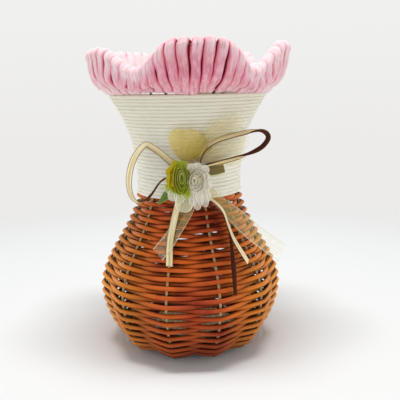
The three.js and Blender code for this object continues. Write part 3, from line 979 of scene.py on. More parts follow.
@dataclass
class Stakes:
    """Eleven upright stakes, socketed in the foot board, that carry the weave and the neck."""

    wall: WallLine
    count: int = 11
    radius: float = 1.05
    first_azimuth: float = math.radians(-15)
    top_trim: float = 1.1
    step: float = 4.0

    @property
    def bay(self) -> float:
        """The angle from one stake to the next."""
        return 2 * math.pi / self.count

    def azimuth(self, k: np.ndarray | float) -> np.ndarray | float:
        """The azimuth of stake k, or of a place between stakes."""
        return self.first_azimuth + k * self.bay

    def build(self, finish: PeeledCane) -> list[bpy.types.Object]:
        """Build and dress every stake.

        Args:
            finish: The stakes' finish.

        Returns:
            The stakes.
        """
        material = finish.material()
        top = self.wall.length - self.top_trim
        lengths = np.linspace(0, top, round(top / self.step))
        pieces = []
        for k in range(self.count):
            route = self.wall.place(lengths, np.full_like(lengths, self.azimuth(k)), 0.0)
            name = f"stake_{k + 1:02d}"
            piece = strand(f"cane_{name}", route, self.radius)
            pieces.append(settle(piece, name, "pale_cane", material))
        return pieces


@dataclass
class BellyWeave:
    """Strands spliced into one that climbs round the stakes, in front of one and behind the next."""

    wall: WallLine
    stakes: Stakes
    strands: int = 8
    bays_each: int = 60
    radius: float = 1.75
    throw: float = 2.75
    row_pitch: float = 3.38
    start_length: float = 11.98
    splice_gap: float = 0.3
    steps_per_bay: int = 9
    rise_wander: tuple[float, float, int] = (0.2, 2.7, 11)
    throw_wander: tuple[float, float, int] = (0.1, 1.9, 12)
    straightness: float = 0.45
    # Painted shade where a strand faces inwards or lies behind, and how dark it is there
    inner_span: tuple[float, float] = (-0.3, 0.4)
    behind_span: tuple[float, float] = (-1.2, 2.0)
    behind_shade: float = 0.6

    def length(self, bays: np.ndarray | float) -> np.ndarray | float:
        """How far up the wall the weave has climbed after so many bays."""
        return self.start_length + self.row_pitch * bays / self.stakes.count

    def build(self, finish: StainedRattan) -> list[bpy.types.Object]:
        """Build and dress every strand.

        Args:
            finish: The strands' finish.

        Returns:
            The strands, from the foot up.
        """
        material = finish.material()
        pieces = []
        for w in range(self.strands):
            bays = np.linspace(0, self.bays_each, self.bays_each * self.steps_per_bay + 1)
            bays += w * self.bays_each
            azimuth = self.stakes.azimuth(bays)
            trim = self.splice_gap / self.wall.read(self.length(bays), "r")
            azimuth[0] += trim[0]
            azimuth[-1] -= trim[-1]
            rise = uneven(bays, self.rise_wander)
            throw = self.throw + uneven(bays, self.throw_wander)
            swing = np.cos(math.pi * bays)
            swing += self.straightness * (2 / math.pi * np.arcsin(swing) - swing)
            chord = 1 - math.cos(self.stakes.bay / 2)
            between = 1 - (2 * (bays % 1) - 1) ** 2
            dip = self.straightness * chord * self.wall.read(self.length(bays), "r") * between
            offset = -throw * swing - dip
            route = self.wall.place(self.length(bays) + rise, azimuth, offset)
            piece = strand(f"rattan_strand_{w + 1}", route, self.radius)
            self.mark_inner(piece)
            pieces.append(settle(piece, f"belly_weaver_{w + 1}", "brown_rattan", material))
        return pieces

    def mark_inner(self, piece: bpy.types.Object) -> None:
        """Mark how far each point of a strand faces or lies inside the wall, from 0 to 1.

        Args:
            piece: The strand, which is given an attribute "inner".
        """
        points, normals = np.empty((2, 3 * len(piece.data.vertices)), dtype=np.float32)
        piece.data.vertices.foreach_get("co", points)
        piece.data.vertices.foreach_get("normal", normals)
        outward, depth = self.wall.beside(points.reshape(-1, 3) / MM)
        facing = (normals.reshape(-1, 3) * outward).sum(axis=1)
        # Painted shade: the inner mark grows where a point faces inwards or lies behind the wall
        inner = np.maximum(np.interp(-facing, self.inner_span, (0, 1)),
                           np.interp(depth, self.behind_span, (0, self.behind_shade)))
        layer = piece.data.attributes.new("inner", "FLOAT", "POINT")
        layer.data.foreach_set("value", inner.astype(np.float32))


@dataclass
class NeckWinding:
    """White cord wound round the stakes of the neck, turn on turn."""

    wall: WallLine
    weave: BellyWeave
    radius: float = 1.56
    offset: float = 2.85
    turns: float = 27.9
    first_turn_rise: float = -0.1
    top_trim: float = 6.1
    steps_per_turn: int = 96
    rise_wander: tuple[float, float, int] = (0.1, 0.61, 21)
    offset_wander: tuple[float, float, int] = (0.1, 0.37, 22)

    def build(self, finish: TwistedCord) -> bpy.types.Object:
        """Build and dress the winding.

        Args:
            finish: The cord's finish.

        Returns:
            The winding.
        """
        woven = self.weave.strands * self.weave.bays_each
        start = self.weave.length(woven) + self.first_turn_rise
        end = self.wall.length - self.top_trim
        turn = np.linspace(0, self.turns, round(self.turns * self.steps_per_turn))
        length = start + (end - start) * turn / self.turns + uneven(turn, self.rise_wander)
        azimuth = self.weave.stakes.azimuth(woven) + 2 * math.pi * turn
        offset = self.offset + uneven(turn, self.offset_wander)
        piece = strand("cord_neck_winding", self.wall.place(length, azimuth, offset), self.radius)
        return settle(piece, "neck_winding", "white_cord", finish.material())


@dataclass
class PetalRim:
    """A wire hoop on the stakes, a hoop bent into five petals, and crepe paper wound round both."""

    wall: WallLine
    stakes: Stakes
    petals: int = 5
    first_petal: float = math.radians(6)
    wire_radius: float = 0.8
    peak: tuple[float, float] = (76.4, 242.0)
    dip: tuple[float, float] = (70.0, 223.5)
    heights: tuple[float, ...] = (1.04, 1.08, 0.96, 0.93, 0.8)
    fan: float = 0.05
    breadth: float = 2.4
    wraps_per_bay: int = 6
    first_wrap: int = -3
    stake_room: float = 1.4 / 60.4  # an angle: a length beside a stake, over the radius there
    reach: float = 2.9
    reach_wander: tuple[float, float, int] = (0.45, 0.37, 31)
    puff: float = 4.2
    puff_power: float = 0.756
    outer_half: float = 2.3
    inner_half: float = 1.0
    section_power: float = 0.95
    crown: float = 0.9
    overlap: float = 1.14
    overlap_wander: tuple[float, float, int] = (0.1, 0.43, 32)
    side_wander: tuple[float, float, int] = (0.9, 0.71, 33)
    parting: float = 0.07
    parting_power: float = 1.6
    folds: int = 3
    fold_room: float = 0.72
    fold_lane: tuple[float, float] = (0.2, 0.8)
    fold_slants: tuple[float, float] = (0.45, 2.25)
    fold_middle: float = 0.27
    fold_widths: tuple[float, float] = (0.07, 0.13)
    fold_least: float = 0.35
    fold_waves: float = 1.4
    fold_pinch: float = 0.45
    sag: float = 1.7
    slits: tuple[tuple[float, float], ...] = (
        (math.radians(-21), math.radians(12)),
        (math.radians(22), math.radians(14)),
    )
    paper_round: float = 20.0
    paper_per_wrap: float = 66.0
    hoop_steps: int = 330
    steps_per_wrap: int = 48
    sides: int = 28
    # Along one wrap: share, slide to the next wrap, height share and facing in quarter turns
    turn_keys: tuple[tuple[float, float, float, float], ...] = (
        (0.00, 0.0, 0.0, -1.0),
        (0.08, 0.0, 0.0, 0.0),
        (0.46, 0.1, 1.0, 0.0),
        (0.54, 0.2, 1.0, 1.0),
        (0.62, 0.3, 1.0, 2.0),
        (0.92, 1.0, 0.0, 2.0),
        (1.00, 1.0, 0.0, 3.0),
    )
    # By facing: added overlap, share of the crown, share of the painted crease shade that shows, and
    # painted light to white
    turned_overlap: tuple[tuple[float, ...], ...] = ((0.6, 1.6, 2.0), (-0.04, 0.0, 0.2))
    turned_crown: tuple[tuple[float, ...], ...] = ((0, 0.8, 1.2, 2), (0.2, 1, 1, 0))
    turned_crease: tuple[tuple[float, ...], ...] = ((-1, 0, 1, 1.6, 2), (0.3, 1, 0.75, 0.35, 0.2))
    turned_light: tuple[tuple[float, ...], ...] = ((0, 0.5, 1.1, 2, 3), (0, 0.4, 0.7, 0.95, 0.3))
    # Strength and power of the painted crease shade at the paper's edges, and of painted light at
    # three places
    edge_crease: tuple[float, float] = (0.95, 4)
    side_light: tuple[float, float] = (0.8, 1.5)
    rim_light: tuple[float, float] = (0.65, 5)
    collar_light: tuple[float, float] = (0.3, 3)
    # Painted crease shade in the paper's folds, and painted crimson shade all over its inner side
    fold_crease: float = 0.5
    inner_crease: float = 0.9

    @property
    def wraps(self) -> int:
        """How many wraps go round the rim."""
        return self.wraps_per_bay * self.stakes.count

    @property
    def wrap_step(self) -> float:
        """The angle from one wrap to the next."""
        return 2 * math.pi / self.wraps

    def rim_spot(self, azimuth: np.ndarray) -> tuple[np.ndarray, np.ndarray]:
        """The radius and height of the petal hoop at azimuths.

        Args:
            azimuth: How far round the vase each place is, from the front.

        Returns:
            The radius and the height at each.
        """
        wave = (1 + np.cos(self.petals * (azimuth - self.first_petal))) / 2
        petal = np.rint((azimuth - self.first_petal) * self.petals / (2 * math.pi)).astype(int)
        rise = (1 - (1 - wave) ** self.breadth) * np.array(self.heights)[petal % self.petals]
        return (self.dip[0] + rise * (self.peak[0] - self.dip[0]),
                self.dip[1] + rise * (self.peak[1] - self.dip[1]))

    def hoop_point(self, azimuth: np.ndarray, up: np.ndarray) -> np.ndarray:
        """Points between the collar hoop, at up 0, and the petal hoop, at up 1.

        Args:
            azimuth: How far round the vase each place is, from the front.
            up: How far it is from the collar hoop to the petal hoop, from 0 to 1.

        Returns:
            The points, one row each, in millimetres.
        """
        rim_r, rim_z = self.rim_spot(azimuth)
        radius = self.wall.collar[0] + up * (rim_r - self.wall.collar[0])
        height = self.wall.collar[1] + up * (rim_z - self.wall.collar[1])
        return np.column_stack([radius * np.sin(azimuth), -radius * np.cos(azimuth), height])

    def wrap_azimuth(self, j: np.ndarray, up: np.ndarray) -> np.ndarray:
        """The azimuth of wrap j, clear of the stakes at the collar and fanned out over a petal's top.

        Args:
            j: The wrap's number.
            up: How far it is from the collar hoop to the petal hoop, from 0 to 1.

        Returns:
            The azimuth at each place.
        """
        bay = np.floor_divide(j, self.wraps_per_bay)
        within = (j - bay * self.wraps_per_bay + 0.5) / self.wraps_per_bay
        room = self.stakes.bay - self.stake_room
        parted = self.stakes.azimuth(bay) + self.stake_room / 2 + within * room
        even = self.stakes.azimuth(bay + within)
        fanned = even + self.fan * np.sin(self.petals * (even - self.first_petal))
        return parted * (1 - up) + fanned * up

    def turned(self, wraps: np.ndarray) -> tuple[np.ndarray, ...]:
        """The wrap's number, its slide to the next one, its height share and its facing.

        Args:
            wraps: How many wraps round the rim, with the share of the one under way.

        Returns:
            Those four at each place.
        """
        j = np.floor(wraps)
        keys = np.array(self.turn_keys).T
        slide, up, facing = (np.interp(wraps - j, keys[0], row) for row in keys[1:])
        return j, slide, up, facing

    def fold_depth(self, wraps: np.ndarray, side: np.ndarray) -> np.ndarray:
        """How deep in one of the paper's own folds a place is.

        Args:
            wraps: How many wraps round the rim.
            side: Where it is across the paper, from -1 to 1.

        Returns:
            The depth, from 0 to 1.
        """
        j = np.floor(wraps)
        share = wraps - j
        depth = np.zeros_like(wraps)
        for k in range(self.folds):
            chance = scattered(j, k + 1)
            slant = along_keys(np.modf(chance * SECOND_DRAW)[0], self.fold_slants)
            lane = (k + along_keys(chance, self.fold_lane)) / self.folds
            place = self.fold_room * (2 * lane - 1) - slant * (share - self.fold_middle)
            width = along_keys(chance, self.fold_widths)
            swell = np.sin(2 * math.pi * (self.fold_waves * share + chance)) ** 2
            fades = self.fold_least + (1 - self.fold_least) * swell
            depth = np.maximum(depth, fades * np.exp(-(((side - place) / width) ** 2)))
        return depth

    def slit(self, azimuth: np.ndarray) -> np.ndarray:
        """How far the paper is held up off the winding, from 0 to 1, so that light shows under it.

        Args:
            azimuth: How far round the vase each place is, from the front.

        Returns:
            How far it is held up at each.
        """
        held = np.zeros_like(azimuth)
        for middle, half in self.slits:
            off = (azimuth - middle + math.pi) % (2 * math.pi) - math.pi
            held = np.maximum(held, np.exp(-((off / half) ** 4)))
        return held

    def wrap_surface(self, wraps: np.ndarray, across: np.ndarray) -> np.ndarray:
        """Points of the paper.

        Args:
            wraps: How many wraps round the rim, with the share of the one under way.
            across: The share round the paper's section.

        Returns:
            The points, in millimetres.
        """
        j, slide, up, facing = self.turned(wraps)
        azimuth = self.wrap_azimuth(j, up) * (1 - slide) + self.wrap_azimuth(j + 1, up) * slide
        middle = self.hoop_point(azimuth, up)
        lean = (self.hoop_point(azimuth + self.wrap_step / 2, up)
                - self.hoop_point(azimuth - self.wrap_step / 2, up))
        length = np.linalg.norm(lean, axis=1)
        rim_r, rim_z = self.rim_spot(azimuth)
        climb = np.stack([rim_r - self.wall.collar[0], rim_z - self.wall.collar[1]])
        climb /= np.linalg.norm(climb, axis=0)
        angle = facing * math.pi / 2
        out_r = climb[1] * np.cos(angle) + climb[0] * np.sin(angle)
        out_z = -climb[0] * np.cos(angle) + climb[1] * np.sin(angle)
        outward = np.column_stack([out_r * np.sin(azimuth), -out_r * np.cos(azimuth), out_z])
        front = np.clip(np.cos(angle), 0, 1)
        under = np.clip(-np.sin(angle), 0, 1)
        reach = self.reach + self.puff * front * np.sin(math.pi * up**self.puff_power)
        reach = reach + self.sag * under * (1 - self.slit(azimuth)) + uneven(wraps, self.reach_wander)
        parted = -self.parting * np.sin(math.pi * up**self.parting_power)
        spread = self.overlap + np.where(front > 0.5, parted, np.interp(facing, *self.turned_overlap))
        spread = spread + uneven(wraps, self.overlap_wander)
        turn = 2 * math.pi * across
        side = np.cos(turn)
        bulge = np.abs(np.sin(turn)) ** self.section_power
        pinched = 1 - self.fold_pinch * self.fold_depth(wraps, side)
        full = self.outer_half + self.crown * np.interp(facing, *self.turned_crown)
        thick = np.where(np.sin(turn) > 0, full * bulge * pinched, -self.inner_half * bulge)
        sideways = length / 2 * spread * side + uneven(wraps, self.side_wander)
        lean /= length[:, None]
        return middle + outward * (reach + thick)[:, None] + lean * sideways[:, None]

    def crease_depth(self, wraps: np.ndarray, across: np.ndarray) -> np.ndarray:
        """How deep in a crease the paper is, at its edges and in its folds, from 0 to 1.

        Args:
            wraps: How many wraps round the rim, with the share of the one under way.
            across: The share round the paper's section.

        Returns:
            The depth at each place.
        """
        side = np.cos(2 * math.pi * across)
        outside = np.sin(2 * math.pi * across) > 0
        _, _, _, facing = self.turned(wraps)
        shown = np.interp(facing, *self.turned_crease)
        strength, power = self.edge_crease
        depth = strength * np.abs(side) ** power + self.fold_crease * self.fold_depth(wraps, side)
        # The inner side, seen in the gaps between wraps, takes painted crimson shade all over
        return np.where(outside, np.clip(shown * depth, 0, 1), self.inner_crease)

    def painted_light(self, wraps: np.ndarray) -> np.ndarray:
        """How far painted light pales the paper to white, most over the rim and inside, from 0 to 1.

        Args:
            wraps: How many wraps round the rim, with the share of the one under way.

        Returns:
            How far it has faded at each place.
        """
        _, _, up, facing = self.turned(wraps)
        sideways = np.abs(np.sin(self.stakes.azimuth(wraps / self.wraps_per_bay)))
        beside, at_rim, at_collar = (
            strength * near**power
            for near, (strength, power) in (
                (sideways, self.side_light), (up, self.rim_light), (1 - up, self.collar_light)))
        turned_in = np.interp(facing, *self.turned_light)
        return np.clip(beside + turned_in + (at_rim + at_collar) * (facing < 0.5), 0, 1)

    def build(self, paper: CrepePaper, wire: PaintedWire) -> list[bpy.types.Object]:
        """Build and dress the two hoops and the paper of each petal.

        Args:
            paper: The wraps' finish.
            wire: The hoops' finish.

        Returns:
            The hoops and then the wraps.
        """
        wire_material = wire.material()
        paper_material = paper.material()
        azimuth = np.linspace(0, 2 * math.pi, self.hoop_steps, endpoint=False)
        pieces = []
        for name, up in (("collar_hoop", 0.0), ("rim_hoop", 1.0)):
            piece = strand(f"wire_{name}", self.hoop_point(azimuth, np.full_like(azimuth, up)),
                           self.wire_radius, hoop=True)
            pieces.append(settle(piece, name, "hoop_wire", wire_material))
        for p in range(self.petals):
            first, last = (self.first_wrap + round(q * self.wraps / self.petals) for q in (p, p + 1))
            each = last - first
            last -= HAIR
            piece = shaped_grid(
                f"paper_petal_{p + 1}",
                (each * self.steps_per_wrap, self.sides),
                lambda along, across: self.wrap_surface(first + along * (last - first), across),
                (each * self.paper_per_wrap, self.paper_round),
                # Where painted crimson shade goes
                crease=lambda along, across: self.crease_depth(first + along * (last - first), across),
                # Painted light that pales the paper towards white
                dye=lambda along, _: self.painted_light(first + along * (last - first)),
            )
            close_mesh(piece)
            pieces.append(settle(piece, f"petal_wrap_{p + 1}", "pink_paper", paper_material))
        return pieces


@dataclass(frozen=True)
class FrontOfNeck:
    """The front of the vase at the bow, on which its pieces are laid out."""

    wall: WallLine
    height: float = 153.0

    def point(self, spot: np.ndarray, drape: float) -> np.ndarray:
        """Points in front of the vase.

        Args:
            spot: Rows of how far right and up from the bow's middle, and how far off the vase.
            drape: 1 for a piece that follows the vase round, down to 0 for one that stays straight.

        Returns:
            The points, one row each, in millimetres.
        """
        right, up, lift = spot.T
        radius = self.wall.outside_radius(self.height + up) + lift
        bend = drape * right**2 / (2 * radius)
        return np.column_stack([right, bend - radius, self.height + up])


@dataclass(frozen=True)
class RibbonCut:
    """One length of ribbon: its cloth, its route from the knot, its widths and how it is turned.

    The route's steps are from its start. A turn of 0 faces the front, and 90 degrees is edge-on
    with the right side to the left of the route.
    """

    node: str
    cloth: Cloth
    start: tuple[float, float, float]
    steps: tuple[tuple[float, ...], ...]
    widths: tuple[float, ...]
    turns: tuple[float, ...] = (0.0,)
    drape: float = 1.0
    cup: float = 0.0
    pleats: int = 0
    pleat_depth: float = 0.0
    pleat_shade: float = 0.2
    gather_shade: float = 0.3
    dyes: tuple[float, float] = (0.35, 0.85)
    thickness: float = 0.35
    spans: tuple[int, int] = (72, 8)
    route_points: int = 160

    @cached_property
    def route(self) -> np.ndarray:
        """The middle of the ribbon, as right, up and lift."""
        steps = [(*step, 0.0)[:3] for step in ((0.0, 0.0), *self.steps)]
        return smooth_route(np.array(self.start) + np.array(steps), self.route_points)

    @property
    def length(self) -> float:
        """The ribbon's length."""
        return float(np.linalg.norm(np.diff(self.route, axis=0), axis=1).sum())

    def build(self, front: FrontOfNeck) -> bpy.types.Object:
        """Lay the ribbon along its route, on the front of the vase.

        Args:
            front: The front of the vase.

        Returns:
            The ribbon, as a sheet of no thickness.
        """
        return shaped_grid(
            f"cloth_{self.node}", self.spans,
            lambda along, across: front.point(self.spot(along, across), self.drape),
            (self.length, max(self.widths)), crease=self.crease, dye=self.dye)

    def spot(self, along: np.ndarray, across: np.ndarray) -> np.ndarray:
        """Rows of right, up and lift at shares along and across the ribbon.

        Args:
            along: Shares along the ribbon.
            across: Shares across it.

        Returns:
            The rows, in millimetres.
        """
        middle, side = along_route(self.route, along)
        width = along_keys(along, self.widths)
        turn = np.radians(along_keys(along, self.turns))
        out = width * (across - 0.5)
        raised = self.cup * width * (2 * across - 1) ** 2
        raised = raised + self.pleat_depth * np.cos(2 * math.pi * self.pleats * across)
        flat = out * np.cos(turn) - raised * np.sin(turn)
        lift = out * np.sin(turn) + raised * np.cos(turn)
        return np.column_stack([middle[:, :2] + side * flat[:, None], middle[:, 2] + lift])

    def dye(self, along: np.ndarray, _: np.ndarray) -> np.ndarray:
        """How far along the dye's colours each place is: paler towards the end."""
        return along_keys(along, self.dyes)

    def crease(self, along: np.ndarray, across: np.ndarray) -> np.ndarray:
        """How deep in a gather each place is: most at the knot and in the pleats.

        Args:
            along: Shares along the ribbon.
            across: Shares across it.

        Returns:
            The depth at each place, from 0 to 1.
        """
        gather = np.clip(1 - along_keys(along, self.widths) / max(self.widths), 0, 1)
        lines = 0.5 - 0.5 * np.cos(2 * math.pi * self.pleats * across) if self.pleats else 0 * across
        return np.clip(self.gather_shade * gather + self.pleat_shade * lines, 0, 1)


@dataclass(frozen=True)
class OrganzaPuff:
    """One loop of organza: gathered at the knot, out to its far end and back over itself."""

    node: str
    start: tuple[float, float, float]
    steps: tuple[tuple[float, float], ...]
    widths: tuple[float, ...]
    lifts: tuple[float, float]
    dyes: tuple[float, float]
    rounded: float = 0.35
    ragged: float = 0.06
    ragged_wave: tuple[float, int] = (0.5, 41)  # wavelength across it, and seed
    turn_power: float = 0.85
    turn_lift: float = 2.0
    taper: float = 0.08
    puff: float = 3.4
    pleats: int = 6
    pleat_depth: float = 1.1
    pleat_drift: float = 2.4
    pleat_reach: float = 1.25
    pleat_least: float = 0.2
    pleat_shade: float = 0.3
    pleat_shade_reach: float = 1.2
    gather_shade: float = 0.4
    gather_power: float = 1.5
    hem_share: float = 0.87
    thickness: float = 0.2
    spans: tuple[int, int] = (72, 60)
    axis_points: int = 80

    @cached_property
    def axis(self) -> np.ndarray:
        """The loop's middle line from the knot to its far end, as right and up."""
        steps = np.array([(0.0, 0.0), *self.steps])
        return smooth_route(np.array(self.start[:2]) + steps, self.axis_points)

    @property
    def reach(self) -> float:
        """How far the loop goes out."""
        return float(np.linalg.norm(np.diff(self.axis, axis=0), axis=1).sum())

    def out(self, along: np.ndarray, across: np.ndarray) -> np.ndarray:
        """How far out each place is, as a share of the reach: less at the rounded, uneven sides.

        Args:
            along: Shares along the cloth, out and back.
            across: Shares across it.

        Returns:
            The share at each place.
        """
        torn = 1 - self.ragged * (1 + wander(across, *self.ragged_wave))
        edge = (1 - self.rounded * (2 * across - 1) ** 2) * torn
        return np.sin(math.pi * along) ** self.turn_power * edge

    def pleat_wave(self, along: np.ndarray, across: np.ndarray) -> np.ndarray:
        """The rise and fall of the pleats, from -1 to 1."""
        return np.cos(2 * math.pi * self.pleats * across + self.pleat_drift * along)

    def dye(self, along: np.ndarray, across: np.ndarray) -> np.ndarray:
        """How far along the dye's colours each place is."""
        return along_keys(self.out(along, across), self.dyes)

    def hem(self, _: np.ndarray, across: np.ndarray) -> np.ndarray:
        """How near the rolled edge each place is, which is faint here, from 0 to 1."""
        return self.hem_share * np.abs(2 * across - 1)

    def spot(self, along: np.ndarray, across: np.ndarray) -> np.ndarray:
        """Rows of right, up and lift at shares along the cloth, out and back, and across it.

        Args:
            along: Shares along the cloth, out and back.
            across: Shares across it.

        Returns:
            The rows, in millimetres.
        """
        out = self.out(along, across)
        middle, side = along_route(self.axis, out)
        flat = along_keys(out, self.widths) * (1 - self.taper * along) * (across - 0.5)
        ruffle = self.pleat_wave(along, across) * np.clip(self.pleat_reach - out, self.pleat_least, 1)
        rise = self.start[2] + along_keys(along, (self.lifts[0], self.turn_lift, self.lifts[1]))
        puffed = self.puff * np.sin(math.pi * np.clip(2 * along - 1, 0, 1)) * np.sin(math.pi * across)
        lift = rise + puffed + self.pleat_depth * (1 + ruffle)
        return np.column_stack([middle + side * flat[:, None], lift])

    def crease(self, along: np.ndarray, across: np.ndarray) -> np.ndarray:
        """How deep in a gather each place is: most at the knot and in the pleats.

        Args:
            along: Shares along the cloth, out and back.
            across: Shares across it.

        Returns:
            The depth at each place, from 0 to 1.
        """
        out = self.out(along, across)
        lines = 0.5 - 0.5 * self.pleat_wave(along, across)
        gathers = self.gather_shade * (1 - out) ** self.gather_power
        pleats = self.pleat_shade * lines * (self.pleat_shade_reach - out)
        return np.clip(gathers + pleats, 0, 1)


@dataclass
class Bow:
    """A gathered knot with loops and tails of gold satin ribbon and of sheer organza."""

    front: FrontOfNeck
    knot_size: tuple[float, float, float] = (16.0, 16.0, 11.0)
    knot_lift: float = 5.2
    knot_ridges: int = 9
    knot_ridge: float = 0.05
    knot_spans: tuple[int, int] = (48, 24)
    cuts: tuple[RibbonCut, ...] = (
        RibbonCut("gold_loop_left", Cloth.GOLD, (-8.3, 4.5, 7.6),
                  ((-5, 3), (-13, 10), (-20, 15), (-22.5, 16.3), (-25.5, 14.5), (-32, 6), (-36, -5),
                   (-37, -16), (-34.5, -24.5), (-29, -27.5), (-21.5, -22), (-13, -11), (-5, -7), (0, -7)),
                  (6.5, 6, 6, 6, 6, 6, 6, 6, 4.6),
                  (35, 48, 45, 38, 36, 45, 100, 91, 90), drape=0.3, cup=0.12, spans=(140, 8)),
        RibbonCut("gold_loop_right", Cloth.GOLD, (8.3, 6, 7.6),
                  ((1.5, 5), (5, 11), (12, 16), (30, 21), (45, 23), (50, 19), (46.5, 13), (37, 8),
                   (27, 5), (17, 2.6), (6, 0), (0, -1.5)),
                  (4.6, 6, 6, 6, 6, 6, 6, 6, 4.6),
                  (-74, -66, -62, -66, -118, -112, -60, -55, -70), drape=0.3, cup=0.3, spans=(140, 8)),
        RibbonCut("gold_tail_front", Cloth.GOLD, (-4.8, -8.3, 3.6),
                  ((0, -4), (-3, -13), (-5, -21), (-8, -33, -0.4), (-10.3, -44, -0.6), (-11, -60, -0.6)),
                  (3.6, 5.4, 5.4, 5.4), (10, -5, 5, 0), cup=0.04),
        RibbonCut("gold_tail_right", Cloth.GOLD, (4.2, -8.3, 6.2),
                  ((0.5, -3), (6, -9), (16, -16.5), (21.5, -23), (25.5, -34), (29, -43), (39.8, -61, -1)),
                  (4.2, 6, 6, 6), (-82, -76, -72, -66), spans=(96, 6)),
        RibbonCut("brown_tail_right", Cloth.BROWN, (1.2, -8.3, 2.4),
                  ((0.3, -4), (5, -12), (16, -20), (25, -28), (29, -38), (30.6, -50),
                   (31.4, -64, -0.4), (32, -82, -0.8)),
                  (4.2, 6, 6, 6, 6, 6), (88, 88, 85, 78, 58, 70), spans=(110, 6)),
        # Painted shade: gold ribbon in shade behind the organza, drawn as a darker olive ribbon
        RibbonCut("olive_ribbon_end", Cloth.OLIVE, (8.3, -1, 2.6),
                  ((6, 0.5), (12, 1.6), (18.5, 3)), (4, 8, 10, 10), cup=0.05, spans=(40, 8)),
        RibbonCut("organza_tail_left", Cloth.CREAM, (1, -8.3, 1.1),
                  ((0.6, -6), (0.6, -13), (-1.2, -19.7), (-7.3, -29.2, 1.2), (-11.6, -35.5, 1.2),
                   (-15.7, -41.7, 1.2), (-25.5, -53.5, 0.6)),
                  (4, 8, 10, 10, 10), (0, 15, 25, 25, 15), pleats=2, pleat_depth=0.35,
                  thickness=0.25, spans=(60, 24)),
        RibbonCut("organza_tail_right", Cloth.CREAM, (8.3, -5.4, 1.1),
                  ((3, -4), (13, -18), (26, -30.5, 0.4), (42, -46, 1), (66, -65, 3)),
                  (4, 8, 12, 12, 12), pleats=1, pleat_depth=0.3, thickness=0.25, spans=(72, 20)),
    )

    puffs: tuple[OrganzaPuff, ...] = (
        OrganzaPuff("organza_loop_left", (-1, 8.3, 1.5), ((0, 4), (2, 13), (6.4, 24.6)),
                    (7, 26, 34, 36, 36), (0.0, 7.5), (0.0, 0.3)),
        OrganzaPuff("organza_loop_right", (5, 8.3, 1.5), ((3, 3), (13, 8.5), (27, 14), (43, 18.5)),
                    (7, 27, 38, 40, 40), (0.0, 5.5), (0.45, 0.95), rounded=0.12, pleats=5),
    )

    def build(self, finishes: dict[Cloth, bpy.types.Material]) -> list[bpy.types.Object]:
        """Build and dress the knot, the ribbons and the organza.

        Args:
            finishes: The material of each cloth.

        Returns:
            The bow's pieces.
        """
        pieces = [self.build_knot(finishes[Cloth.GOLD])]
        for cut in self.cuts:
            piece = cut.build(self.front)
            lined = cut.cloth is Cloth.GOLD
            reverse = finishes[Cloth.BROWN if lined else cut.cloth]
            pieces.append(settle(piece, cut.node, cut.cloth.value, finishes[cut.cloth], reverse))
            thicken(piece, cut.thickness, reverse=int(lined))
            if max(cut.widths) >= LEAST_SHEET:
                cut.length
        for puff in self.puffs:
            piece = shaped_grid(
                f"cloth_{puff.node}", puff.spans,
                lambda along, across: self.front.point(puff.spot(along, across), 1.0),
                (2 * puff.reach, max(puff.widths)), crease=puff.crease, dye=puff.dye, hem=puff.hem)
            pieces.append(settle(piece, puff.node, Cloth.CREAM.value, finishes[Cloth.CREAM]))
            thicken(piece, puff.thickness)
        return pieces

    def build_knot(self, material: bpy.types.Material) -> bpy.types.Object:
        """A lump of gathered ribbon, ridged where the folds turn in.

        Args:
            material: The ribbon's material.

        Returns:
            The knot.
        """
        bpy.ops.object.select_all(action="DESELECT")
        segments, rings = self.knot_spans
        bpy.ops.mesh.primitive_uv_sphere_add(segments=segments, ring_count=rings, radius=1)
        piece = bpy.context.object
        piece.name = "cloth_bow_knot"
        points = np.empty(3 * len(piece.data.vertices), dtype=np.float32)
        piece.data.vertices.foreach_get("co", points)
        ball = points.reshape(-1, 3).astype(float)
        turn = np.arctan2(ball[:, 2], ball[:, 0])
        ridge = 1 - self.knot_ridge * (1 + np.cos(self.knot_ridges * turn))
        half = np.array(self.knot_size) / 2
        spot = np.column_stack([ball[:, 0] * half[0] * ridge, ball[:, 2] * half[1] * ridge,
                                self.knot_lift - ball[:, 1] * half[2]])
        places = self.front.point(spot, 1.0) * MM
        piece.data.vertices.foreach_set("co", places.astype(np.float32).ravel())
        piece.data.update()
        scale_uv(piece, (self.knot_size[0] * MM, self.knot_size[1] * MM))
        bpy.ops.object.shade_smooth()
        return settle(piece, "bow_knot", Cloth.GOLD.value, material)


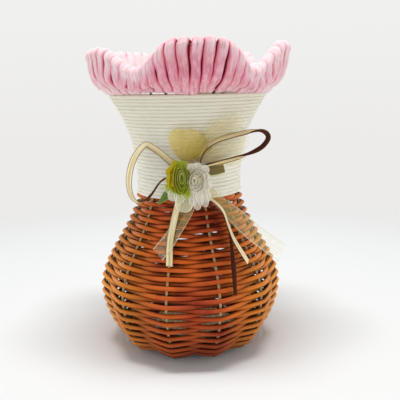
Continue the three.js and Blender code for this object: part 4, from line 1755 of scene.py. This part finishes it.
@dataclass(frozen=True)
class Frill:
    """One ruffled round of a rosette: a strip round part of an oval, gathered along its foot.

    It goes across from its foot, which is a share of the oval's size, to its free edge, which
    stands further out. Its sweep is in degrees from straight down.
    """

    middle: tuple[float, float]
    half: tuple[float, float]
    sweep: tuple[float, float]
    lift: float
    rise: float
    foot: float = 0.6
    foot_width: float = 2.0
    waves: float = 6.0
    ruffle: float = 0.7
    ruffle_wave: tuple[float, int] = (0.8, 3)  # wavelength in waves, and seed
    ragged: float = 0.1
    gather_power: float = 1.3
    spans: tuple[int, int] = (120, 8)

    @property
    def size(self) -> tuple[float, float]:
        """Its length along the free edge and its width."""
        swept = math.radians(abs(self.sweep[1] - self.sweep[0]))
        return swept * math.hypot(*self.half) / math.sqrt(2), self.rise + self.foot_width

    def spot(self, along: np.ndarray, across: np.ndarray) -> np.ndarray:
        """Rows of right, up and lift at shares round the oval and across the strip.

        Args:
            along: Shares round the oval.
            across: Shares from its foot to its free edge.

        Returns:
            The rows, in millimetres.
        """
        turn = np.radians(along_keys(along, self.sweep))
        # Each round is ragged in its own way, by its lift in tenths of a millimetre
        ragged = self.ragged * wander(along, 1 / self.waves, round(10 * self.lift))
        reach = self.foot + (1 - self.foot) * across + ragged * across
        wave, seed = self.ruffle_wave
        ruffled = self.ruffle * wander(along, wave / self.waves, seed)
        lift = self.lift + self.rise * across + ruffled * across
        return np.column_stack([self.middle[0] + self.half[0] * reach * np.sin(turn),
                                self.middle[1] - self.half[1] * reach * np.cos(turn), lift])

    def crease(self, _: np.ndarray, across: np.ndarray) -> np.ndarray:
        """How deep in the gathers each place is."""
        return np.clip(1 - across, 0, 1) ** self.gather_power


@dataclass(frozen=True)
class Lobe:
    """One loose petal of a rosette: drawn in at its base, cupped, and rounded at its tip."""

    base: tuple[float, float, float]
    tip: tuple[float, float, float]
    width: float
    drawn_in: float = 0.8
    roundness: float = 2.6
    tip_share: float = 0.02
    cup: float = 0.16
    gather_shade: float = 0.6
    gather_reach: float = 1.6
    spans: tuple[int, int] = (28, 14)

    @property
    def size(self) -> tuple[float, float]:
        """Its length and its width."""
        return math.dist(self.base, self.tip), self.width

    def spot(self, along: np.ndarray, across: np.ndarray) -> np.ndarray:
        """Rows of right, up and lift at shares from its base to its tip and across it.

        Args:
            along: Shares from its base to its tip.
            across: Shares across it.

        Returns:
            The rows, in millimetres.
        """
        base, tip = np.array(self.base), np.array(self.tip)
        way = (tip - base)[:2] / np.linalg.norm((tip - base)[:2])
        narrowed = np.abs((1 + self.drawn_in) * along - self.drawn_in) ** self.roundness
        half = self.width / 2 * np.sqrt(np.clip(1 - narrowed, self.tip_share, 1))
        out = half * (2 * across - 1)
        right, up, lift = (base + along[:, None] * (tip - base)).T
        cup = self.cup * self.width * (2 * across - 1) ** 2 * np.sin(math.pi * along)
        return np.column_stack([right - way[1] * out, up + way[0] * out, lift + cup])

    def crease(self, along: np.ndarray, _: np.ndarray) -> np.ndarray:
        """How deep in the gathers each place is."""
        return self.gather_shade * np.clip(1 - self.gather_reach * along, 0, 1) ** 2


@dataclass(frozen=True)
class Rosette:
    """A flower of ruffled organza: rounds of frill, the inner ones standing further out, and lobes.

    The dye goes from its first colour to its middle one over dye_right, and on to its last one
    downwards over dye_down, which a tilt puts lower towards the right.
    """

    node: str
    cloth: Cloth
    cut: tuple[float, float]
    dye_right: tuple[float, float]
    dye_down: tuple[float, float]
    frills: tuple[Frill, ...]
    lobes: tuple[Lobe, ...]
    dye_tilt: float = 0.0
    thickness: float = 0.2

    def dye(self, spot: np.ndarray) -> np.ndarray:
        """How far along the dye's colours each place is, from 0 to 1.

        Args:
            spot: Rows of right, up and lift.

        Returns:
            The share at each place.
        """
        right, up, _ = spot.T
        across = np.interp(right, self.dye_right, (0.0, 0.5))
        down = -up - self.dye_tilt * (right - self.dye_right[0])
        return across + (1 - across) * np.interp(down, np.negative(self.dye_down), (0.0, 1.0))


@dataclass
class Flower:
    """A white and a green rosette and a leaf, sewn on over the bow's knot."""

    front: FrontOfNeck
    rosettes: tuple[Rosette, ...] = (
        Rosette(
            "white_rosette", Cloth.WHITE, (10.0, 150.0), (0.0, 8.0), (-15.0, -24.0),
            (
                Frill((6.6, -6.4), (8.0, 11.0), (-180, 180), 12.0, 3.6, waves=5),
                Frill((5.6, -5.6), (6.4, 8.6), (-100, 190), 13.2, 5.0, waves=4),
                Frill((4.8, -5.0), (4.6, 6.4), (-230, 60), 14.6, 5.6, foot=0.65, waves=3),
                Frill((4.2, -4.6), (3.0, 4.4), (-60, 215), 16.0, 5.6, foot=0.7, waves=3, ruffle=0.5),
                Frill((3.8, -4.4), (1.5, 2.6), (-180, 180), 17.5, 5.0, foot=0.02, waves=2, ruffle=0.3),
            ),
            (
                Lobe((3.0, -1.0, 13.0), (1.5, 7.5, 13.6), 7.0),
                Lobe((6.0, 0.0, 13.0), (6.5, 8.0, 13.4), 7.5),
                Lobe((9.0, -1.0, 13.0), (13.5, 5.5, 13.4), 7.0),
                Lobe((10.0, -5.0, 13.6), (16.0, -2.0, 14.0), 7.0),
                Lobe((10.0, -7.0, 14.2), (16.0, -11.5, 14.8), 7.5),
                Lobe((10.0, -10.0, 14.6), (14.6, -21.0, 15.4), 6.5),
                Lobe((9.0, -11.0, 15.4), (12.4, -25.0, 16.4), 6.0),
                Lobe((7.0, -12.0, 16.0), (8.4, -23.0, 17.4), 6.0),
                Lobe((5.6, -12.0, 15.6), (6.0, -27.0, 17.0), 6.4),
                Lobe((3.6, -12.0, 14.6), (2.2, -24.5, 15.6), 6.4),
            )),
        Rosette(
            "green_rosette", Cloth.GREEN, (10.0, 140.0), (-11.5, -6.5), (-10.5, -16.0),
            (
                Frill((-7.0, -4.0), (8.2, 12.6), (-170, 140), 12.0, 4.0, waves=4),
                Frill((-5.8, -4.2), (6.0, 11.4), (-150, 150), 13.6, 6.0, foot=0.72, waves=3),
                Frill((-5.6, -3.6), (4.5, 9.2), (-170, 190), 15.0, 6.2, foot=0.7, waves=3),
                Frill((-5.4, -3.0), (3.1, 6.8), (-190, 170), 16.4, 6.2, foot=0.65, waves=2),
                Frill((-5.2, -2.4), (1.7, 4.4), (-180, 180), 17.6, 5.0, foot=0.02, waves=2),
            ),
            (
                Lobe((-5.0, 3.0, 12.4), (-4.5, 9.5, 13.0), 7.0),
                Lobe((-8.0, 2.0, 12.6), (-10.5, 9.5, 13.2), 8.0),
                Lobe((-9.0, -1.0, 12.8), (-16.6, 3.0, 13.2), 8.5),
                Lobe((-9.0, -4.0, 13.0), (-17.0, -5.5, 13.4), 9.0),
                Lobe((-9.0, -7.0, 13.0), (-17.4, -14.0, 13.2), 9.0),
                Lobe((-8.0, -9.0, 13.0), (-14.0, -20.5, 13.4), 8.5),
                Lobe((-5.5, -10.0, 13.0), (-8.4, -22.5, 14.0), 8.5),
                Lobe((-2.5, -14.0, 12.8), (-5.0, -29.0, 13.8), 13.5),
                Lobe((-4.0, -9.0, 14.4), (-1.5, -19.0, 16.0), 7.0),
            ), dye_tilt=0.55),
    )
    leaf: RibbonCut = RibbonCut(
        "flower_leaf", Cloth.LEAF, (-8.3, -6, 5.4), ((-3, -3), (-8, -11), (-16, -20, -1)),
        (1.4, 7, 5.6, 1), cup=0.12, thickness=0.4, spans=(40, 10))

    def build(self, finishes: dict[Cloth, bpy.types.Material]) -> list[bpy.types.Object]:
        """Build and dress the rosettes and the leaf.

        Args:
            finishes: The material of each cloth.

        Returns:
            The rosettes and the leaf.
        """
        pieces = [self.build_rosette(rosette, finishes[rosette.cloth]) for rosette in self.rosettes]
        leaf = self.leaf.build(self.front)
        thicken(leaf, self.leaf.thickness)
        pieces.append(settle(leaf, self.leaf.node, self.leaf.cloth.value, finishes[self.leaf.cloth]))
        return pieces

    def build_rosette(self, rosette: Rosette, material: bpy.types.Material) -> bpy.types.Object:
        """Build the frills and lobes of one rosette and join them.

        Args:
            rosette: The rosette to build.
            material: Its material.

        Returns:
            The joined rosette.
        """
        parts = []
        for k, part in enumerate((*rosette.frills, *rosette.lobes)):
            parts.append(shaped_grid(
                f"cloth_{rosette.node}_{k}", part.spans,
                lambda along, across: self.front.point(part.spot(along, across), 0.0), part.size,
                crease=part.crease, dye=lambda along, across: rosette.dye(part.spot(along, across))))
        select_only(parts[0])
        for piece in parts[1:]:
            piece.select_set(True)
        bpy.ops.object.join()
        flower = bpy.context.object
        flower.name = f"cloth_{rosette.node}"
        thicken(flower, rosette.thickness)
        return settle(flower, rosette.node, rosette.cloth.value, material)


@dataclass(frozen=True)
class Lamp:
    """A soft rectangular lamp that looks at the middle of the vase."""

    name: str
    place: tuple[float, float, float]
    size: tuple[float, float]
    watts: float


@dataclass
class Studio:
    """The pale floor, the soft lamp, the white surroundings and the camera.

    The spans of the surroundings are of a direction's height, or of how far it goes to the side
    or to the front, on a scale from -1 to 1.
    """

    floor_radius: float = 900.0
    floor_sides: int = 96
    floor_fade: tuple[float, float] = (330.0, 640.0)
    floor_colour: str = "#eef0f0"
    wall_colour: str = "#ecebe9"
    sky_colour: str = "#f4f4f2"
    sky_span: tuple[float, float] = (-0.1, 0.3)
    light_colour: str = "#ffffff"
    ambient: float = 0.95
    ceiling: float = 0.3
    ceiling_span: tuple[float, float] = (0.08, 0.45)
    below_share: float = 0.5
    below_span: tuple[float, float] = (-0.1, 0.0)
    side_gain: float = 2.0
    side_span: tuple[float, float] = (0.3, 1.0)
    front_gain: float = 1.3
    front_span: tuple[float, float] = (-1.0, -0.3)
    camera_place: tuple[float, float, float] = (0.0, -450.0, 215.7)
    camera_pitch: float = math.radians(-11.92)
    camera_yaw: float = math.radians(1.145)
    camera_roll: float = math.radians(0.68)
    lens: float = 48.6
    sensor: float = 36.0
    nearest: float = 10.0
    target: tuple[float, float, float] = (0.0, 0.0, 120.0)
    lamps: tuple[Lamp, ...] = (
        Lamp("overhead softbox", (0.0, -110.0, 1400.0), (800.0, 200.0), 13.6),
    )

    def build(self) -> None:
        """Set up everything that isn't the vase."""
        self.build_floor()
        self.build_world()
        for lamp in self.lamps:
            self.build_lamp(lamp)
        self.build_camera()
        bpy.context.scene.view_settings.view_transform = "Standard"

    def build_floor(self) -> None:
        """A disc of matt white paper that fades out at its edge."""
        bpy.ops.object.select_all(action="DESELECT")
        bpy.ops.mesh.primitive_circle_add(
            vertices=self.floor_sides, radius=self.floor_radius * MM, fill_type="NGON")
        floor = bpy.context.object
        floor.name = "floor"
        material, tree = blank_material("matt white paper")
        place = add_node(tree, "ShaderNodeTexCoord")
        reach = add_node(tree, "ShaderNodeVectorMath", {0: place.outputs["Object"]}, operation="LENGTH")
        fade = add_node(tree, "ShaderNodeMapRange", {
            "Value": reach.outputs["Value"], "From Min": self.floor_fade[0] * MM,
            "From Max": self.floor_fade[1] * MM}, interpolation_type="SMOOTHSTEP")
        paper = add_node(tree, "ShaderNodeBsdfDiffuse", {"Color": linear(self.floor_colour)})
        clear = add_node(tree, "ShaderNodeBsdfTransparent")
        both = add_node(tree, "ShaderNodeMixShader", {
            0: fade.outputs["Result"], 1: paper.outputs["BSDF"], 2: clear.outputs["BSDF"]})
        add_node(tree, "ShaderNodeOutputMaterial", {"Surface": both.outputs["Shader"]})
        floor.data.materials.append(material)

    def build_world(self) -> None:
        """White surroundings: a pale wall for the camera, and light from the walls for the vase."""
        world = bpy.data.worlds.new("white studio")
        bpy.context.scene.world = world
        world.use_nodes = True
        tree = world.node_tree
        tree.nodes.clear()
        place = add_node(tree, "ShaderNodeTexCoord")
        way = add_node(tree, "ShaderNodeSeparateXYZ", {"Vector": place.outputs["Generated"]}).outputs
        wall = blend(tree, stretch(tree, way["Z"], self.sky_span), self.wall_colour, self.sky_colour)
        # The side walls are nearest, so they give the most light
        sideways = reckon(tree, "ABSOLUTE", way["X"])
        beside = stretch(tree, sideways, self.side_span, (1.0, self.side_gain))
        ray = add_node(tree, "ShaderNodeLightPath").outputs
        mirrored = add_node(tree, "ShaderNodeMix", {
            MIX_FACTOR: ray["Is Glossy Ray"], MIX_NUMBER_A: 1.0, MIX_NUMBER_B: beside})
        seen = add_node(tree, "ShaderNodeBackground", {
            "Color": wall, "Strength": mirrored.outputs[MIX_NUMBER]})
        # White walls light the vase from its own height; the ceiling and the table are dimmer
        dome = stretch(tree, way["Z"], self.ceiling_span, (self.ambient, self.ceiling))
        below = stretch(tree, way["Z"], self.below_span, (self.below_share, 1.0))
        ahead = stretch(tree, way["Y"], self.front_span, (self.front_gain, 1.0))
        strength = reckon(tree, "MULTIPLY", reckon(tree, "MULTIPLY", dome, below),
                          reckon(tree, "MULTIPLY", beside, ahead))
        light = add_node(tree, "ShaderNodeBackground", {
            "Color": linear(self.light_colour), "Strength": strength})
        shown = reckon(tree, "MAXIMUM", ray["Is Camera Ray"], ray["Is Glossy Ray"])
        shown = reckon(tree, "MAXIMUM", shown, ray["Is Transmission Ray"])
        both = add_node(tree, "ShaderNodeMixShader", {
            0: shown, 1: light.outputs["Background"], 2: seen.outputs["Background"]})
        add_node(tree, "ShaderNodeOutputWorld", {"Surface": both.outputs["Shader"]})

    def build_lamp(self, lamp: Lamp) -> None:
        """Hang one lamp.

        Args:
            lamp: The lamp to hang.
        """
        place = Vector(lamp.place) * MM
        aim = Vector(self.target) * MM - place
        turn = aim.to_track_quat("-Z", "Y").to_euler()
        bpy.ops.object.light_add(type="AREA", location=place, rotation=turn)
        light = bpy.context.object
        light.name = lamp.name
        light.data.shape = "RECTANGLE"
        light.data.size, light.data.size_y = (side * MM for side in lamp.size)
        light.data.energy = lamp.watts

    def build_camera(self) -> None:
        """Set the camera where the picture was taken from."""
        pitch, yaw, roll = self.camera_pitch, self.camera_yaw, self.camera_roll
        ahead = Vector((math.sin(yaw) * math.cos(pitch), math.cos(yaw) * math.cos(pitch),
                        math.sin(pitch)))
        level = ahead.cross(Vector((0, 0, 1))).normalized()
        upright = level.cross(ahead)
        up = upright * math.cos(roll) + level * math.sin(roll)
        right = level * math.cos(roll) - upright * math.sin(roll)
        bpy.ops.object.camera_add()
        camera = bpy.context.object
        turn = Matrix((right, up, -ahead)).transposed().to_4x4()
        camera.matrix_world = Matrix.Translation(Vector(self.camera_place) * MM) @ turn
        camera.data.lens = self.lens
        camera.data.sensor_width = self.sensor
        camera.data.clip_start = self.nearest * MM
        bpy.context.scene.camera = camera


def cloth_finishes() -> dict[Cloth, bpy.types.Material]:
    """Make the material of each cloth of the bow and its flower.

    Returns:
        The materials, by cloth.
    """
    ribbon = {
        Cloth.GOLD: SatinRibbon("gold satin ribbon", "#fbf3d2", "#c2a65a", "#6b4518", metallic=0.15),
        Cloth.BROWN: SatinRibbon("brown satin ribbon", "#4c1c06", "#3a1303", "#5c2c0f", roughness=0.85),
        # Painted shade: the gold satin in a darker olive
        Cloth.OLIVE: SatinRibbon("gold satin ribbon in painted shade", "#7c6c2a", "#63551d", "#d6d08a"),
        Cloth.LEAF: SatinRibbon("green cloth leaf", "#6f8a38", "#4e6a24", "#9cb860", roughness=0.55),
    }
    sheer = {
        Cloth.CREAM: Organza("cream organza", ("#ead45e", "#ffeea0", "#fff7d2"), "#d8ba40", "#f6ecc0",
                             (0.26, 0.07), hem_cover=0.4),
        Cloth.WHITE: Organza("white organza", ("#f6f0d8", "#f8f3e6", "#f4eedd"), "#cbc69c", "#fffdf2",
                             (0.75, 0.35)),
        Cloth.GREEN: Organza("green organza", ("#d2b400", "#b2c028", "#eceac8"), "#7a7c14", "#c6cf50",
                             (0.97, 0.4)),
    }
    return {cloth: finish.material() for cloth, finish in {**ribbon, **sheer}.items()}


def main() -> None:
    """Build the vase in order and report each piece."""
    logging.basicConfig(level=logging.INFO, format="%(name)s: %(message)s")
    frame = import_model()
    Studio().build()

    wall = WallLine()
    board = frame["nodes"]["base_board"]
    board.data.materials.clear()
    # The board's pine is painted darker, as painted shade inside the vase
    board.data.materials.append(ShadedPineBoard().material())
    stakes = Stakes(wall)
    stakes.build(PeeledCane())
    weave = BellyWeave(wall, stakes)
    weave.build(StainedRattan())
    NeckWinding(wall, weave).build(TwistedCord())
    PetalRim(wall, stakes).build(CrepePaper(), PaintedWire())
    finishes = cloth_finishes()
    front = FrontOfNeck(wall)
    Bow(front).build(finishes)
    Flower(front).build(finishes)


if __name__ == "__main__":
    main()
